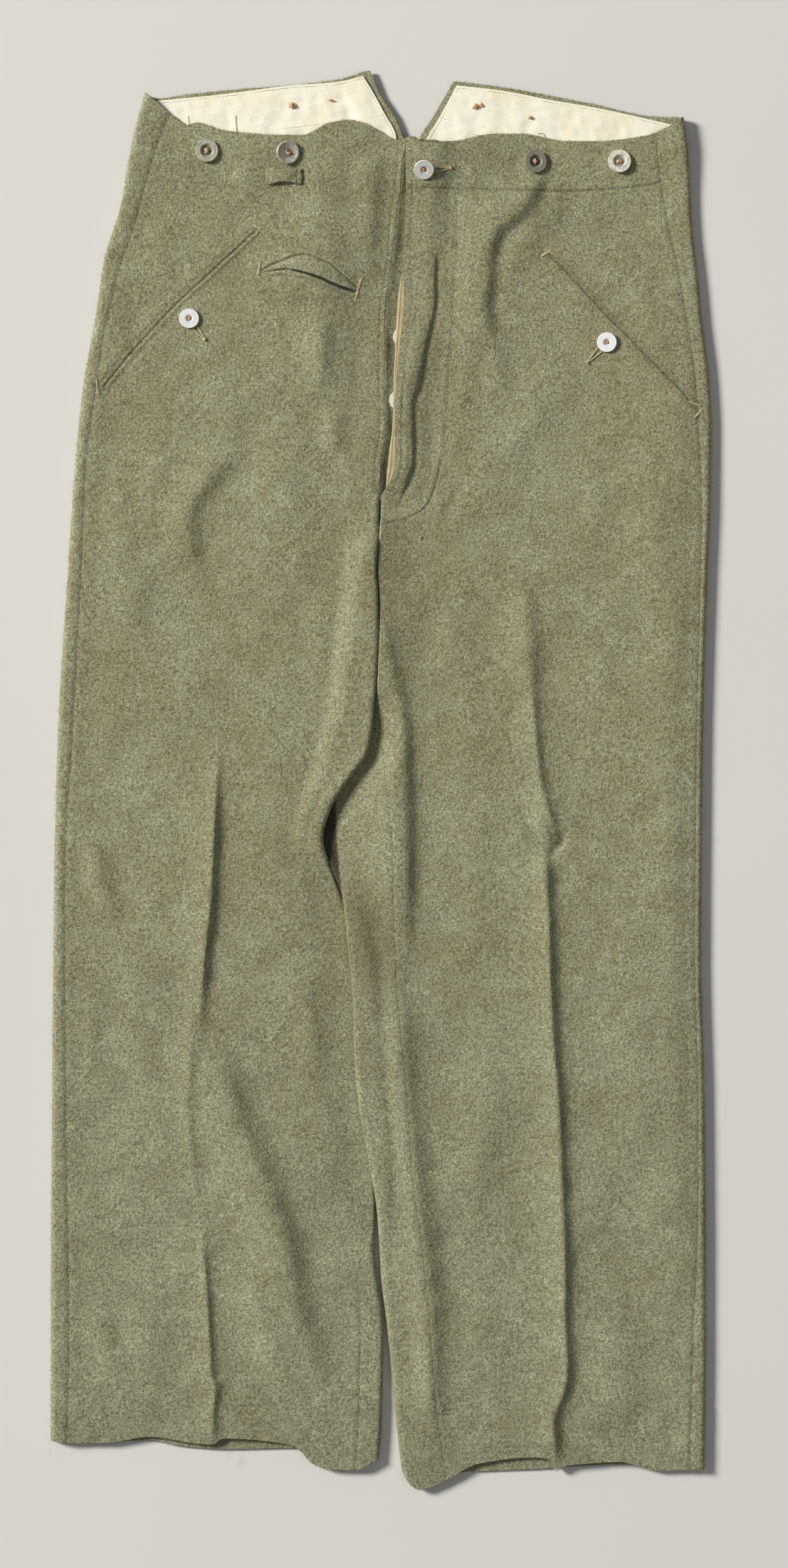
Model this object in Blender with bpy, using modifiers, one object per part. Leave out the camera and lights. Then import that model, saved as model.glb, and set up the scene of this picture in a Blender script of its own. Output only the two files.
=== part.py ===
# Heavy wool military trousers, laid out flat, face up.
# X runs from the wearer's right to the wearer's left, Y from the hems to the
# waist, Z up from the surface that the garment lies on.  "right" and "left"
# are the wearer's.  Tables and named sizes are in millimetres; MM turns them
# into metres where the points are made.
import math
from bisect import bisect_right

import bpy
import bmesh
import numpy as np
from mathutils import Vector

MM = 0.001

# ---------------------------------------------------------------- main sizes
WOOL = 1.8            # wool wall
COTTON = 1.0          # waist lining wall
TAN = 1.0             # fly facing wall
GAP = 0.3             # between pieces at a seam
TOP = 6.4             # height of a leg that lies at rest, over both layers
EDGE = 7.4            # height of an unpressed fold at the outer edges
PRESSED = 4.2         # height of a fold that another leg lies on
LIFT = 4.7            # underside of the fold that lies on the other leg
FLY_TOP = 10.9        # height over the stack of the fly
WAIST_LIFT = 2.8      # back waist, held up by the two back brace buttons
UNDER = 25.0          # how far the inseam lies under the right leg's fold
CROTCH_Y = 185.5      # where the four leg pieces meet
BRACE_D, BRACE_T = 16.8, 2.5
SMALL_D, SMALL_T = 14.4, 2.4

# stations along the garment, waist to hem: one row of every panel each
STATIONS = (472.0, 456.0, 438.0, 415.0, 388.0, 358.0, 325.0, 292.0, 260.0,
            231.0, 213.0, 199.0, 192.0, 185.5, 178.0, 171.0, 157.0, 136.0,
            108.0, 72.0, 36.0, 0.0, -19.5, -43.0, -65.0, -95.0, -150.0,
            -215.0, -262.0, -296.0, -316.0, -327.0, -338.0, -350.0, -366.0, -396.0, -432.0,
            -458.0, -480.0)
MID_Y = -0.45         # middle of the length, brought to the origin

# ------------------------------------------------------------ section tables
# silhouette and side seam, a row per section
RIGHT_SIDE = (  # y, outer edge x, side seam x
    (498, -171.5, -146.5), (478.5, -177, -153), (451.5, -183, -163),
    (417.5, -189, -174.5), (376, -201.5, -187.5), (338.5, -207, -198.5),
    (288, -216, -206), (231.5, -222, -214), (144.5, -228, -218),
    (40, -234.5, -223.5), (-71.5, -237.5, -229.5), (-231, -239, -229),
    (-400.5, -240, -226.5), (-500, -240, -228.5))
LEFT_SIDE = (  # y, outer edge x, side seam x
    (480.5, 219.5, 197), (457, 223, 200), (430, 224.5, 203.5),
    (395.5, 226.5, 210), (367, 230, 216), (331, 233.5, 222), (295, 238, 227.5),
    (256, 240, 230), (206, 239.5, 232.5), (142, 237, 231.5), (40.5, 234, 229),
    (-49, 233, 228), (-127.5, 232.5, 227.5), (-231, 235, 230),
    (-281, 235.5, 230), (-344.5, 236, 229), (-410, 236, 226),
    (-500.5, 235, 223.5))
# fold at the inside of the right leg; above the crotch, the fly seam + radius
RIGHT_INNER = (  # y, edge x
    (463, 21), (417, 16.5), (398, 12.5), (349.5, 7), (321, 5), (277.5, 4.5),
    (244.5, 6.5), (210, 2.5), (199, 1.5), (192, 0), (185.5, -1.5), (172, -3),
    (153, -3.5), (136, -2), (109.5, -1.5), (83.5, -2.5), (48.5, -5),
    (19.5, -9.5), (0, -23), (-19.5, -35.5), (-43, -42), (-63.5, -36.5),
    (-86, -28), (-108, -22), (-140, -16), (-181, -11.5), (-226.5, -7.5),
    (-281, -4), (-316, -4), (-338, -4.5), (-363, -2.5), (-382, 0.5),
    (-400.5, 2), (-429, 1.5), (-466.5, 0.5), (-500, -2))
# fold at the inside of the left leg
LEFT_INNER = (  # y, edge x
    (185.5, 1.5), (172, -0.5), (158, -1.5), (142, -4.5), (119.5, -9),
    (87.5, -14.5), (55.5, -19), (24, -25), (0, -30.5), (-19.5, -32.5),
    (-43, -31.5), (-63.5, -29.5), (-86, -28.5), (-124, -24), (-156, -21),
    (-212.5, -19), (-267.5, -11), (-316, -3), (-338, -1.5), (-363, 0),
    (-391, 3.5), (-419.5, 6.5), (-448, 9), (-485.5, 13), (-502.5, 15))
# inner boundary of the left front: fly edge, crotch seam, then inseam on top
LEFT_BOUND = (  # y, boundary x
    (463, 17.5), (417, 18), (369, 15.5), (321, 9.5), (283, 7.5), (254, 7),
    (216, 3), (206.5, 2), (199, 3), (185.5, 4.5), (172, 4.5), (156, 3.5),
    (133, 1.5), (110.5, 0), (87.5, -1), (55.5, 0), (10, 1.5), (-43, 7.5),
    (-109, 9), (-165.5, 12.5), (-231, 18.5), (-287.5, 22.5), (-334.5, 29),
    (-387.5, 34.5), (-438.5, 38.5), (-476, 44), (-500.5, 47))
# the right leg's inseam: how far from the fold, + on top, - underneath
RIGHT_TURN = (  # y, distance
    (199, 5.8), (192, 0.5), (185.5, -6.5), (171, -15), (157, -UNDER),
    (-296, -UNDER), (-316, -14), (-327, -5), (-338, 5), (-350, 14),
    (-363, 17), (-392, 19), (-500, 19))
# long creases, each the line of one column of points
RIGHT_CREASE = (  # y, x, ridge height
    (472, -112, 0), (247, -114.5, 0), (20, -117.5, 0), (-24, -121, 1.2),
    (-52, -123, 1.8), (-90, -122, 1.6), (-124, -127, 2.0), (-175, -133.5, 1.6),
    (-203, -131.5, 1.2), (-313.5, -132.5, 1.4), (-354, -128, 2.0),
    (-438.5, -122, 1.6), (-500, -119, 1.0))
LEFT_CREASE = (  # y, x, ridge height
    (467.5, 87.5, 0), (338, 94, 0), (201.5, 101, 0), (94.5, 104, 0.6),
    (42, 113, 1.4), (4.5, 117, 1.8), (-24, 124, 2.4), (-39, 127, 2.6),
    (-60.5, 122, 1.6), (-81, 122.5, 1.6), (-156, 122.5, 1.8),
    (-253.5, 132, 2.2), (-344, 134.5, 2.0), (-453.5, 131, 1.8),
    (-500, 130, 1.2))
# where the cloth falls off the fly's stack, then the inner thigh fold
FLY_FALL = (  # y, x, fold height below the crotch
    (463, 43.5, 0), (429, 42, 0), (379, 39, 0), (359.5, 40.5, 0),
    (311.5, 32, 0), (283, 25, 0), (235, 24, 0), (216, 19, 0), (200.5, 16, 0),
    (178.5, 14.5, 0), (142, 13, 0.4), (103.5, 12, 1.6), (76, 14, 2.0),
    (49.5, 18.5, 2.2), (-24, 24, 2.4), (-90, 21.5, 2.0), (-146.5, 25.5, 1.6),
    (-203, 30, 1.4), (-276.5, 39, 1.4), (-413, 50, 1.2), (-500, 59, 0.8))
# the largest soft folds of the fronts: a ridge from one end to the other
FOLDS = (  # x0, y0, x1, y1, height, half width on its left, on its right
    (-8, 455, -22, 238, 1.6, 16, 9),
    (143, 446, 84, 385, 1.8, 9, 7),
    (84, 385, 78, 330, 1.4, 9, 7),
    (-102, -230, -48, -420, 1.5, 12, 14),
    (-60, -122, -24, -134, 1.6, 8, 7),
    (-60, 110, -40, -10, 1.8, 22, 12),
    (176, 240, 188, 60, 1.4, 20, 14),
    (-190, 230, -176, 40, 1.4, 16, 18))
# how the two inner folds cross: the right leg lies over the left one down to
# the bend at y = -43, and under it below
TWIST = (  # y, right lift, right height, left lift, left height
    (199, 0, EDGE, 0, TOP), (185.5, 0, EDGE, 0, TOP),
    (178, 2.0, 7.0, 0, 5.2), (171, LIFT, 6.6, 0, PRESSED),
    (-19.5, LIFT, 6.6, 0, PRESSED), (-43, 0, 6.2, 0, 6.2),
    (-65, 0, PRESSED, LIFT, 4.6), (-296, 0, PRESSED, LIFT, 4.6),
    (-316, 0, 4.6, LIFT, 4.6), (-350, 0, 6.4, 0, 6.4), (-500, 0, 7, 0, 7))
# cut edges, seen from above: waist of the fronts and backs, and the hems
WAIST_FRONT_RIGHT = (  # x, y
    (-171.5, 498), (-163, 491), (-150, 480), (-140.5, 474.5), (-134, 476),
    (-114, 470.5), (-69, 467), (-57, 467), (-38.5, 475.5), (-24.5, 478),
    (-12, 475.5), (12, 464), (17.5, 465), (30, 466))
WAIST_FRONT_LEFT = (
    (17, 465), (23.5, 466), (30.5, 462), (50, 462.5), (84, 468), (100.5, 468),
    (136.5, 462.5), (154, 462.5), (194, 467), (205, 471.5), (214, 476),
    (219.5, 480.5))
WAIST_BACK_RIGHT = (
    (-171.5, 498), (-163, 494), (-140, 497), (-110.5, 500), (-33, 507.5),
    (-9, 514.5))
WAIST_BACK_LEFT = (
    (52, 507), (89.5, 502), (149, 491), (205.5, 480.5), (219.5, 480.5))
HEM_FRONT_RIGHT = (
    (-240, -480), (-225, -481.5), (-202, -481.5), (-168.5, -477),
    (-136, -481.5), (-123, -482.5), (-114, -478), (-79.5, -480.5),
    (-63, -484), (-47.5, -498), (-38, -500.5), (-19, -501), (-2, -493))
HEM_BACK_RIGHT = (
    (-240, -480), (-204, -481), (-168.5, -480), (-147.5, -484),
    (-114, -486.5), (-63, -485.5), (-38, -497.5), (-19, -499.5), (-2, -493))
HEM_FRONT_LEFT = (
    (15, -502.5), (21.5, -512), (27.5, -515.5), (34.5, -514), (48, -508),
    (59, -501.5), (70.5, -496.5), (110, -492), (121.5, -493), (127, -501.5),
    (134.5, -498), (148, -496.5), (172.5, -495), (200.5, -501.5),
    (235, -500.5))
HEM_BACK_LEFT = (
    (15, -502.5), (34.5, -511), (60, -503), (82, -502), (118, -500.5),
    (133, -499.5), (178.5, -497.5), (205.5, -501), (235, -500.5))
V_RIGHT = (  # y, x of the notch in the back waist; centre back seam below
    (514.5, -9), (497, -2), (481.5, 9), (464.5, 15.5), (440, 8), (190, 0))
V_LEFT = (
    (507, 52), (484.5, 40), (464.5, 27.5), (440, 8), (190, 0))


# ------------------------------------------------------------- small helpers
def column(table, key, k=1):
    """Value of column k of a table at key; its first column may run either way."""
    rows = table if table[0][0] < table[-1][0] else table[::-1]
    keys = [r[0] for r in rows]
    if key <= keys[0]:
        return rows[0][k]
    if key >= keys[-1]:
        return rows[-1][k]
    i = bisect_right(keys, key) - 1
    t = (key - keys[i]) / (keys[i + 1] - keys[i])
    return rows[i][k] + (rows[i + 1][k] - rows[i][k]) * t


def ease(t):
    t = min(1.0, max(0.0, t))
    return t * t * (3.0 - 2.0 * t)


def mix(a, b, t):
    return a + (b - a) * t


def placed(v):
    """Millimetres of the tables to metres about the part's origin."""
    return Vector((v[0], v[1] - MID_Y, v[2])) * MM


# --------------------------------------------------------- form of the cloth
class Side:
    """One half of the trousers: a flattened tube, open above the crotch."""

    def __init__(self, name):
        right = name == "right"
        self.name, self.right = name, right
        self.sgn = 1.0 if right else -1.0     # +1: the inner edge is at +X
        self.side = RIGHT_SIDE if right else LEFT_SIDE
        self.inner = RIGHT_INNER if right else LEFT_INNER
        self.crease = RIGHT_CREASE if right else LEFT_CREASE
        self.waist = ((WAIST_FRONT_RIGHT, WAIST_BACK_RIGHT) if right else
                      (WAIST_FRONT_LEFT, WAIST_BACK_LEFT))
        self.hem = ((HEM_FRONT_RIGHT, HEM_BACK_RIGHT) if right else
                    (HEM_FRONT_LEFT, HEM_BACK_LEFT))
        self.lift_k, self.height_k = (1, 2) if right else (3, 4)

    # plan
    def out(self, y):
        return column(self.side, y, 1)

    def seam(self, y):
        return column(self.side, y, 2)

    def edge(self, y):
        return column(self.inner, y)

    def overlap(self, y):
        """How far the two inner folds lie over each other."""
        if y > 171:
            return 0.0
        return max(0.0, column(RIGHT_INNER, y) - column(LEFT_INNER, y))

    def row_y(self, x, yn, up):
        """A station's line, bent to the cut edges at the waist and hems.
        up is 1 on the front layer, 0 on the back layer."""
        foot = mix(388.0, 438.0, (1.0 - up) * ease(1.6 - abs(x - 15) / 50.0))
        k = ease((yn - foot) / (STATIONS[0] - foot))
        top = mix(column(self.waist[1], x), column(self.waist[0], x), up)
        h = ease((-392.0 - yn) / (-392.0 - STATIONS[-1]))
        low = mix(column(self.hem[1], x), column(self.hem[0], x), up)
        return yn + k * (top - STATIONS[0]) + h * (low - STATIONS[-1])

    # heights
    def lift(self, y):
        return column(TWIST, y, self.lift_k)

    def height(self, y):
        return column(TWIST, y, self.height_k)

    def waist_lift(self, y):
        return WAIST_LIFT * ease((y - 415.0) / 62.0)

    def radius(self, y, outer):
        h = EDGE if outer else self.height(y)
        return h / 2.0

    def fold_sum(self, x, y):
        z = 0.0
        for x0, y0, x1, y1, high, wl, wr in FOLDS:
            dx, dy = x1 - x0, y1 - y0
            n2 = dx * dx + dy * dy
            t = ((x - x0) * dx + (y - y0) * dy) / n2
            if not -0.15 < t < 1.15:
                continue
            # lateral distance, + to the right of the fold seen from above
            s = ((x - x0) * -dy + (y - y0) * dx) / math.sqrt(n2)
            if dy > 0:
                s = -s
            w = wr if s > 0 else wl
            z += high * math.exp(-(s / w) ** 2) * \
                math.sin(math.pi * min(1, max(0, (t + 0.15) / 1.3))) ** 1.5
        return z

    def over(self, x, y):
        """Outer height of the front layer, away from its rolled edges."""
        z = TOP + 1.9 * ease((y - 415.0) / 55.0) + self.fold_sum(x, y)
        d = x - column(self.crease, y)
        w = 13.0 if d < 0 else 9.0
        z += column(self.crease, y, 2) * max(0.0, 1.0 - abs(d) / w)
        if not self.right:
            fall = column(FLY_FALL, y)
            stack = ease((y - 196.0) / 26.0) * (FLY_TOP - z)
            z += max(0.0, stack) * (1.0 - ease((x - fall) / 12.0))
            z += column(FLY_FALL, y, 2) * max(
                0.0, 1.0 - abs(x - fall) / (12.0 if x < fall else 9.0))
        # towards the rolled edges
        d = abs(x - self.out(y))
        z = mix(EDGE + self.waist_lift(y), z, ease((d - EDGE / 2) / 22.0))
        leg = ease((199.0 - y) / 14.0)
        if leg > 0:
            d = (self.edge(y) - x) * self.sgn
            lift, high = self.lift(y), self.height(y)
            hold = high / 2
            if lift < 0.5 and self.overlap(y) > 0:
                hold += self.overlap(y) + 2.0
            z = mix(z, mix(lift + high, z, ease((d - hold) / 18.0)), leg)
            if lift > 0:
                z = max(z, self.under(x, y) + 2 * WOOL + 1.7)
        return z

    def under(self, x, y):
        """Outer height of the back layer: 0 where it rests."""
        z = self.waist_lift(y)
        lift = self.lift(y)
        if lift > 0:
            d = (self.edge(y) - x) * self.sgn
            shelf = self.height(y) / 2 + self.overlap(y) + 3.0
            z += lift * (1.0 - ease((d - shelf) / 20.0))
        return z

    def at(self, yn, outer, p):
        """Point of the outer surface: p is the distance from the apex of the
        outer or inner roll, + over the top, - underneath."""
        # the plan curves are read at the row's true y
        x0 = self.out(yn) if outer else self.edge(yn)
        way = -self.sgn if not outer else self.sgn
        r = self.radius(yn, outer)
        q = r * math.pi / 2
        if abs(p) >= q:
            d, rise = r + abs(p) - q, (1.0 if p > 0 else -1.0)
        else:
            a = p / r
            d, rise = r * (1.0 - math.cos(a)), math.sin(a)
        x = x0 + way * d
        up = 0.5 + 0.5 * rise
        y = self.row_y(x, yn, up)
        x0y = self.out(y) if outer else self.edge(y)
        t = (x - self.edge(yn)) / (self.out(yn) - self.edge(yn))
        x += mix(self.edge(y) - self.edge(yn), self.out(y) - self.out(yn),
                 min(1.0, max(0.0, t)))
        if rise >= 1.0:
            z = self.over(x, y)
        elif rise <= -1.0:
            z = self.under(x, y)
        else:
            lo = self.under(x0y + way * r, y)
            hi = self.over(x0y + way * r, y)
            z = (lo + hi) / 2 + (hi - lo) / 2 * rise
        return Vector((x, y, z))

    def p_of(self, x, yn, outer, top=True):
        """p for a given x on the top or the underside."""
        x0 = self.out(yn) if outer else self.edge(yn)
        way = -self.sgn if not outer else self.sgn
        r = self.radius(yn, outer)
        d = (x - x0) * way
        p = max(d, r) - r + r * math.pi / 2
        return p if top else -p

    def pair(self, yn, outer, p, wall):
        """Outer and inner point; both sides of a seam share the normal."""
        c = self.at(yn, outer, p)
        e, f = 0.6, 2.0
        tp = self.at(yn, outer, p + e) - self.at(yn, outer, p - e)
        ty = self.at(yn + f, outer, p) - self.at(yn - f, outer, p)
        n = tp.cross(ty)
        if n.length < 1e-9:
            n = Vector((0, 0, 1))
        n.normalize()
        # outward: p grows towards the top, so the turn is the same all round
        way = self.sgn if outer else -self.sgn
        n *= way
        return c, c - n * wall, n


def grid_solid(name, pairs, material, coll):
    """Closed wall between an outer and an inner grid of points (a loft
    through unlike sections)."""
    rows, cols = len(pairs), len(pairs[0])
    bm = bmesh.new()
    lay = []
    for k in (0, 1):
        lay.append([[bm.verts.new(placed(pairs[j][i][k])) for i in range(cols)]
                    for j in range(rows)])
    for j in range(rows - 1):
        for i in range(cols - 1):
            for k in (0, 1):
                a, b = lay[k][j][i], lay[k][j][i + 1]
                c, d = lay[k][j + 1][i + 1], lay[k][j + 1][i]
                bm.faces.new((a, b, c, d) if k == 0 else (d, c, b, a))
    rim = ([(0, i) for i in range(cols)] + [(j, cols - 1) for j in
           range(1, rows)] + [(rows - 1, i) for i in range(cols - 2, -1, -1)]
           + [(j, 0) for j in range(rows - 2, 0, -1)])
    for n, (j, i) in enumerate(rim):
        jj, ii = rim[(n + 1) % len(rim)]
        bm.faces.new((lay[0][j][i], lay[1][j][i], lay[1][jj][ii],
                      lay[0][jj][ii]))
    bmesh.ops.recalc_face_normals(bm, faces=bm.faces)
    bmesh.ops.triangulate(bm, faces=bm.faces, quad_method='FIXED')
    return finish_mesh(name, bm, material, coll)


def finish_mesh(name, bm, material, coll):
    me = bpy.data.meshes.new(name)
    bm.to_mesh(me)
    bm.free()
    me.shade_smooth()
    me.set_sharp_from_angle(angle=math.radians(50))
    ob = bpy.data.objects.new(name, me)
    ob.data.materials.append(material)
    coll.objects.link(ob)
    return ob


def make_material(name, rgb, rough, metal=0.0):
    m = bpy.data.materials.new(name)
    m.use_nodes = True
    b = m.node_tree.nodes["Principled BSDF"]
    b.inputs["Base Color"].default_value = (*rgb, 1.0)
    b.inputs["Roughness"].default_value = rough
    b.inputs["Metallic"].default_value = metal
    return m


# ------------------------------------------------------------------- panels
def front_right_columns(s, yn):
    """p values on the right front, from the side seam to its inner end."""
    seam = s.p_of(s.seam(yn), yn, True)
    a, c = s.seam(yn), column(s.crease, yn)
    turn = column(RIGHT_TURN, yn)
    q = s.radius(yn, False) * math.pi / 2
    if yn > 199:
        turn = q
    e = s.edge(yn) - s.radius(yn, False) - 12.0 - max(0.0, turn - q)
    outs = [seam + GAP / 2] + [s.p_of(x, yn, True) for x in (
        a + 6, mix(a, c, 0.5), c - 12, c, c + 10,
        mix(c, e, 0.4), mix(c, e, 0.75))]
    wrap = (q + 2.0, q * 0.5, 0.0, -q * 0.5, -q, -UNDER)
    flat = (turn + 10, turn + 8, turn + 6, turn + 4, turn + 2, turn)
    w = ease((q - turn) / (q + UNDER)) if turn < q else 0.0
    ins = [mix(f, g, w) for f, g in zip(flat, wrap)]
    ins[-1] = turn
    for k in range(4, -1, -1):        # keep the columns in order
        ins[k] = max(ins[k], ins[k + 1] + 0.9)
    ins[-1] += GAP / 2 if abs(turn) > q else GAP
    return [(True, p) for p in outs] + [(False, p) for p in ins]


def front_left_columns(s, yn):
    a, c = s.seam(yn), column(s.crease, yn)
    b, f = column(LEFT_BOUND, yn), column(FLY_FALL, yn)
    f = max(f, b + 5)
    cols = [s.p_of(a, yn, True) + GAP / 2]
    cols += [s.p_of(x, yn, True) for x in (
        a - 6, mix(a, c, 0.5), c + 10, c, c - 12,
        mix(c, f, 0.4), mix(c, f, 0.72), f + 12, f, mix(f, b, 0.5))]
    cols += [s.p_of(b + GAP * 0.8, yn, True)]
    return [(True, p) for p in cols]


def back_columns(s, yn):
    """p values on a back, from the side seam round the outer roll, across
    the underside and, below the crotch, on towards the inseam."""
    seam = s.p_of(s.seam(yn), yn, True)
    r = s.radius(yn, True)
    q = r * math.pi / 2
    v = 0.0
    for _ in range(8):                # the row bends: read the notch there
        v = column(V_RIGHT if s.right else V_LEFT, s.row_y(v, yn, 0.0))
    ri = s.radius(yn, False)
    qi = ri * math.pi / 2
    cols = [(True, p) for p in (seam - GAP / 2, mix(seam, q, 0.9), q * 0.5,
                                0.0, -q * 0.5, -q)]
    if s.right:
        turn = column(RIGHT_TURN, yn)
        if yn > CROTCH_Y + 3:
            turn = None
    else:
        if yn > CROTCH_Y - 1:
            turn = None
        else:
            b = s.p_of(column(LEFT_BOUND, yn), yn, False)
            turn = mix(-qi, b, ease((CROTCH_Y - yn) / 18.0))
    o = s.out(yn) + s.sgn * (r + 2)
    if turn is None:
        end = v - s.sgn * GAP / 2
        # the five last columns lie flat towards the centre back seam
        tail = [end - s.sgn * k for k in (15.0, 12.0, 9.0, 6.0, 3.0, 0.0)]
        inner = [s.p_of(x, yn, True, False) for x in tail]
        tail_cols = [(True, p) for p in inner]
        e = tail[0]
    else:
        wrap = (-qi, -qi * 0.5, 0.0, qi * 0.6, mix(qi, turn, 0.4), turn)
        flat = (turn - 15, turn - 12, turn - 9, turn - 6, turn - 3, turn)
        w = ease((turn + qi + 12) / (qi * 2 + 12))
        ins = [mix(a, b, w) for a, b in zip(flat, wrap)]
        for k in range(4, -1, -1):
            ins[k] = min(ins[k], ins[k + 1] - 0.9)
        ins[-1] -= GAP / 2 if abs(turn) > qi else GAP
        tail_cols = [(False, p) for p in ins]
        e = s.edge(yn) - s.sgn * (ri + max(0.0, -ins[0] - qi))
    near = e - s.sgn * 6.0
    foot = s.edge(yn) - s.sgn * (ri + s.overlap(yn) + 23.0)
    foot = min(foot, near - 4) if s.right else max(foot, near + 4)
    for x in (mix(o, foot, 0.36), mix(o, foot, 0.72), foot, near):
        cols.append((True, s.p_of(x, yn, True, False)))
    return cols + tail_cols


def panel(side, columns):
    return [[side.pair(yn, outer, p, WOOL) for outer, p in columns(side, yn)]
            for yn in STATIONS]


def sheet_rows(rows, cols, height, wall):
    """Pairs for a flat strip: rows of (y, list of x), height(x, y) on top."""
    out = []
    for y, xs in zip(rows, cols):
        out.append([(Vector((x, y, height(x, y))),
                     Vector((x, y, height(x, y) - wall))) for x in xs])
    return out


def between(pairs, j, i):
    """Read a panel's grid at fractional row and column."""
    j0, i0 = min(int(j), len(pairs) - 2), min(int(i), len(pairs[0]) - 2)
    tj, ti = j - j0, i - i0
    out = []
    for k in (1, 2):
        a = pairs[j0][i0][k].lerp(pairs[j0][i0 + 1][k], ti)
        b = pairs[j0 + 1][i0][k].lerp(pairs[j0 + 1][i0 + 1][k], ti)
        out.append(a.lerp(b, tj))
    return out[0], out[1].normalized()


def turned(name, profile, segments, place, material, coll, tilt=(0, 0, 0)):
    """A turned solid: its profile swept with a Screw modifier."""
    me = bpy.data.meshes.new(name)
    verts = [(r * MM, 0.0, z * MM) for r, z in profile]
    me.from_pydata(verts, [(i, i + 1) for i in range(len(verts) - 1)], [])
    ob = bpy.data.objects.new(name, me)
    ob.data.materials.append(material)
    coll.objects.link(ob)
    scr = ob.modifiers.new("turn", 'SCREW')
    scr.axis, scr.angle = 'Z', math.tau
    scr.steps = scr.render_steps = segments
    scr.use_merge_vertices = True
    scr.merge_threshold = 0.00002
    ob.location = placed(Vector(place))
    ob.rotation_euler = tilt
    return ob


def button(name, diameter, thick, place, material, coll):
    """Dished metal button: rounded rim, sunk middle, flat back."""
    r = diameter / 2
    profile = ((0.0, thick - 0.9), (r * 0.32, thick - 0.9), (r * 0.42, thick),
               (r * 0.9, thick), (r, thick * 0.6), (r * 0.97, 0.25),
               (r * 0.85, 0.0), (0.0, 0.0))
    return turned(name, profile, 16, place, material, coll)


def cut_slit(panel_ob, name, x0, y0, x1, y1, cutters, width=0.9):
    """A slit through the front layer, ends left whole for the bar tacks."""
    bpy.ops.mesh.primitive_cube_add(size=1.0)
    c = bpy.context.object
    c.name = name
    length = math.hypot(x1 - x0, y1 - y0)
    c.scale = (length * MM, width * MM, 20 * MM)
    c.location = placed(Vector(((x0 + x1) / 2, (y0 + y1) / 2, 12.4)))
    c.rotation_euler = (0, 0, math.atan2(y1 - y0, x1 - x0))
    for k in list(c.users_collection):
        k.objects.unlink(c)
    cutters.objects.link(c)
    c.display_type, c.hide_render = 'WIRE', True
    b = panel_ob.modifiers.new(name, 'BOOLEAN')
    b.operation, b.solver, b.object = 'DIFFERENCE', 'EXACT', c
    return c


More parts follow.
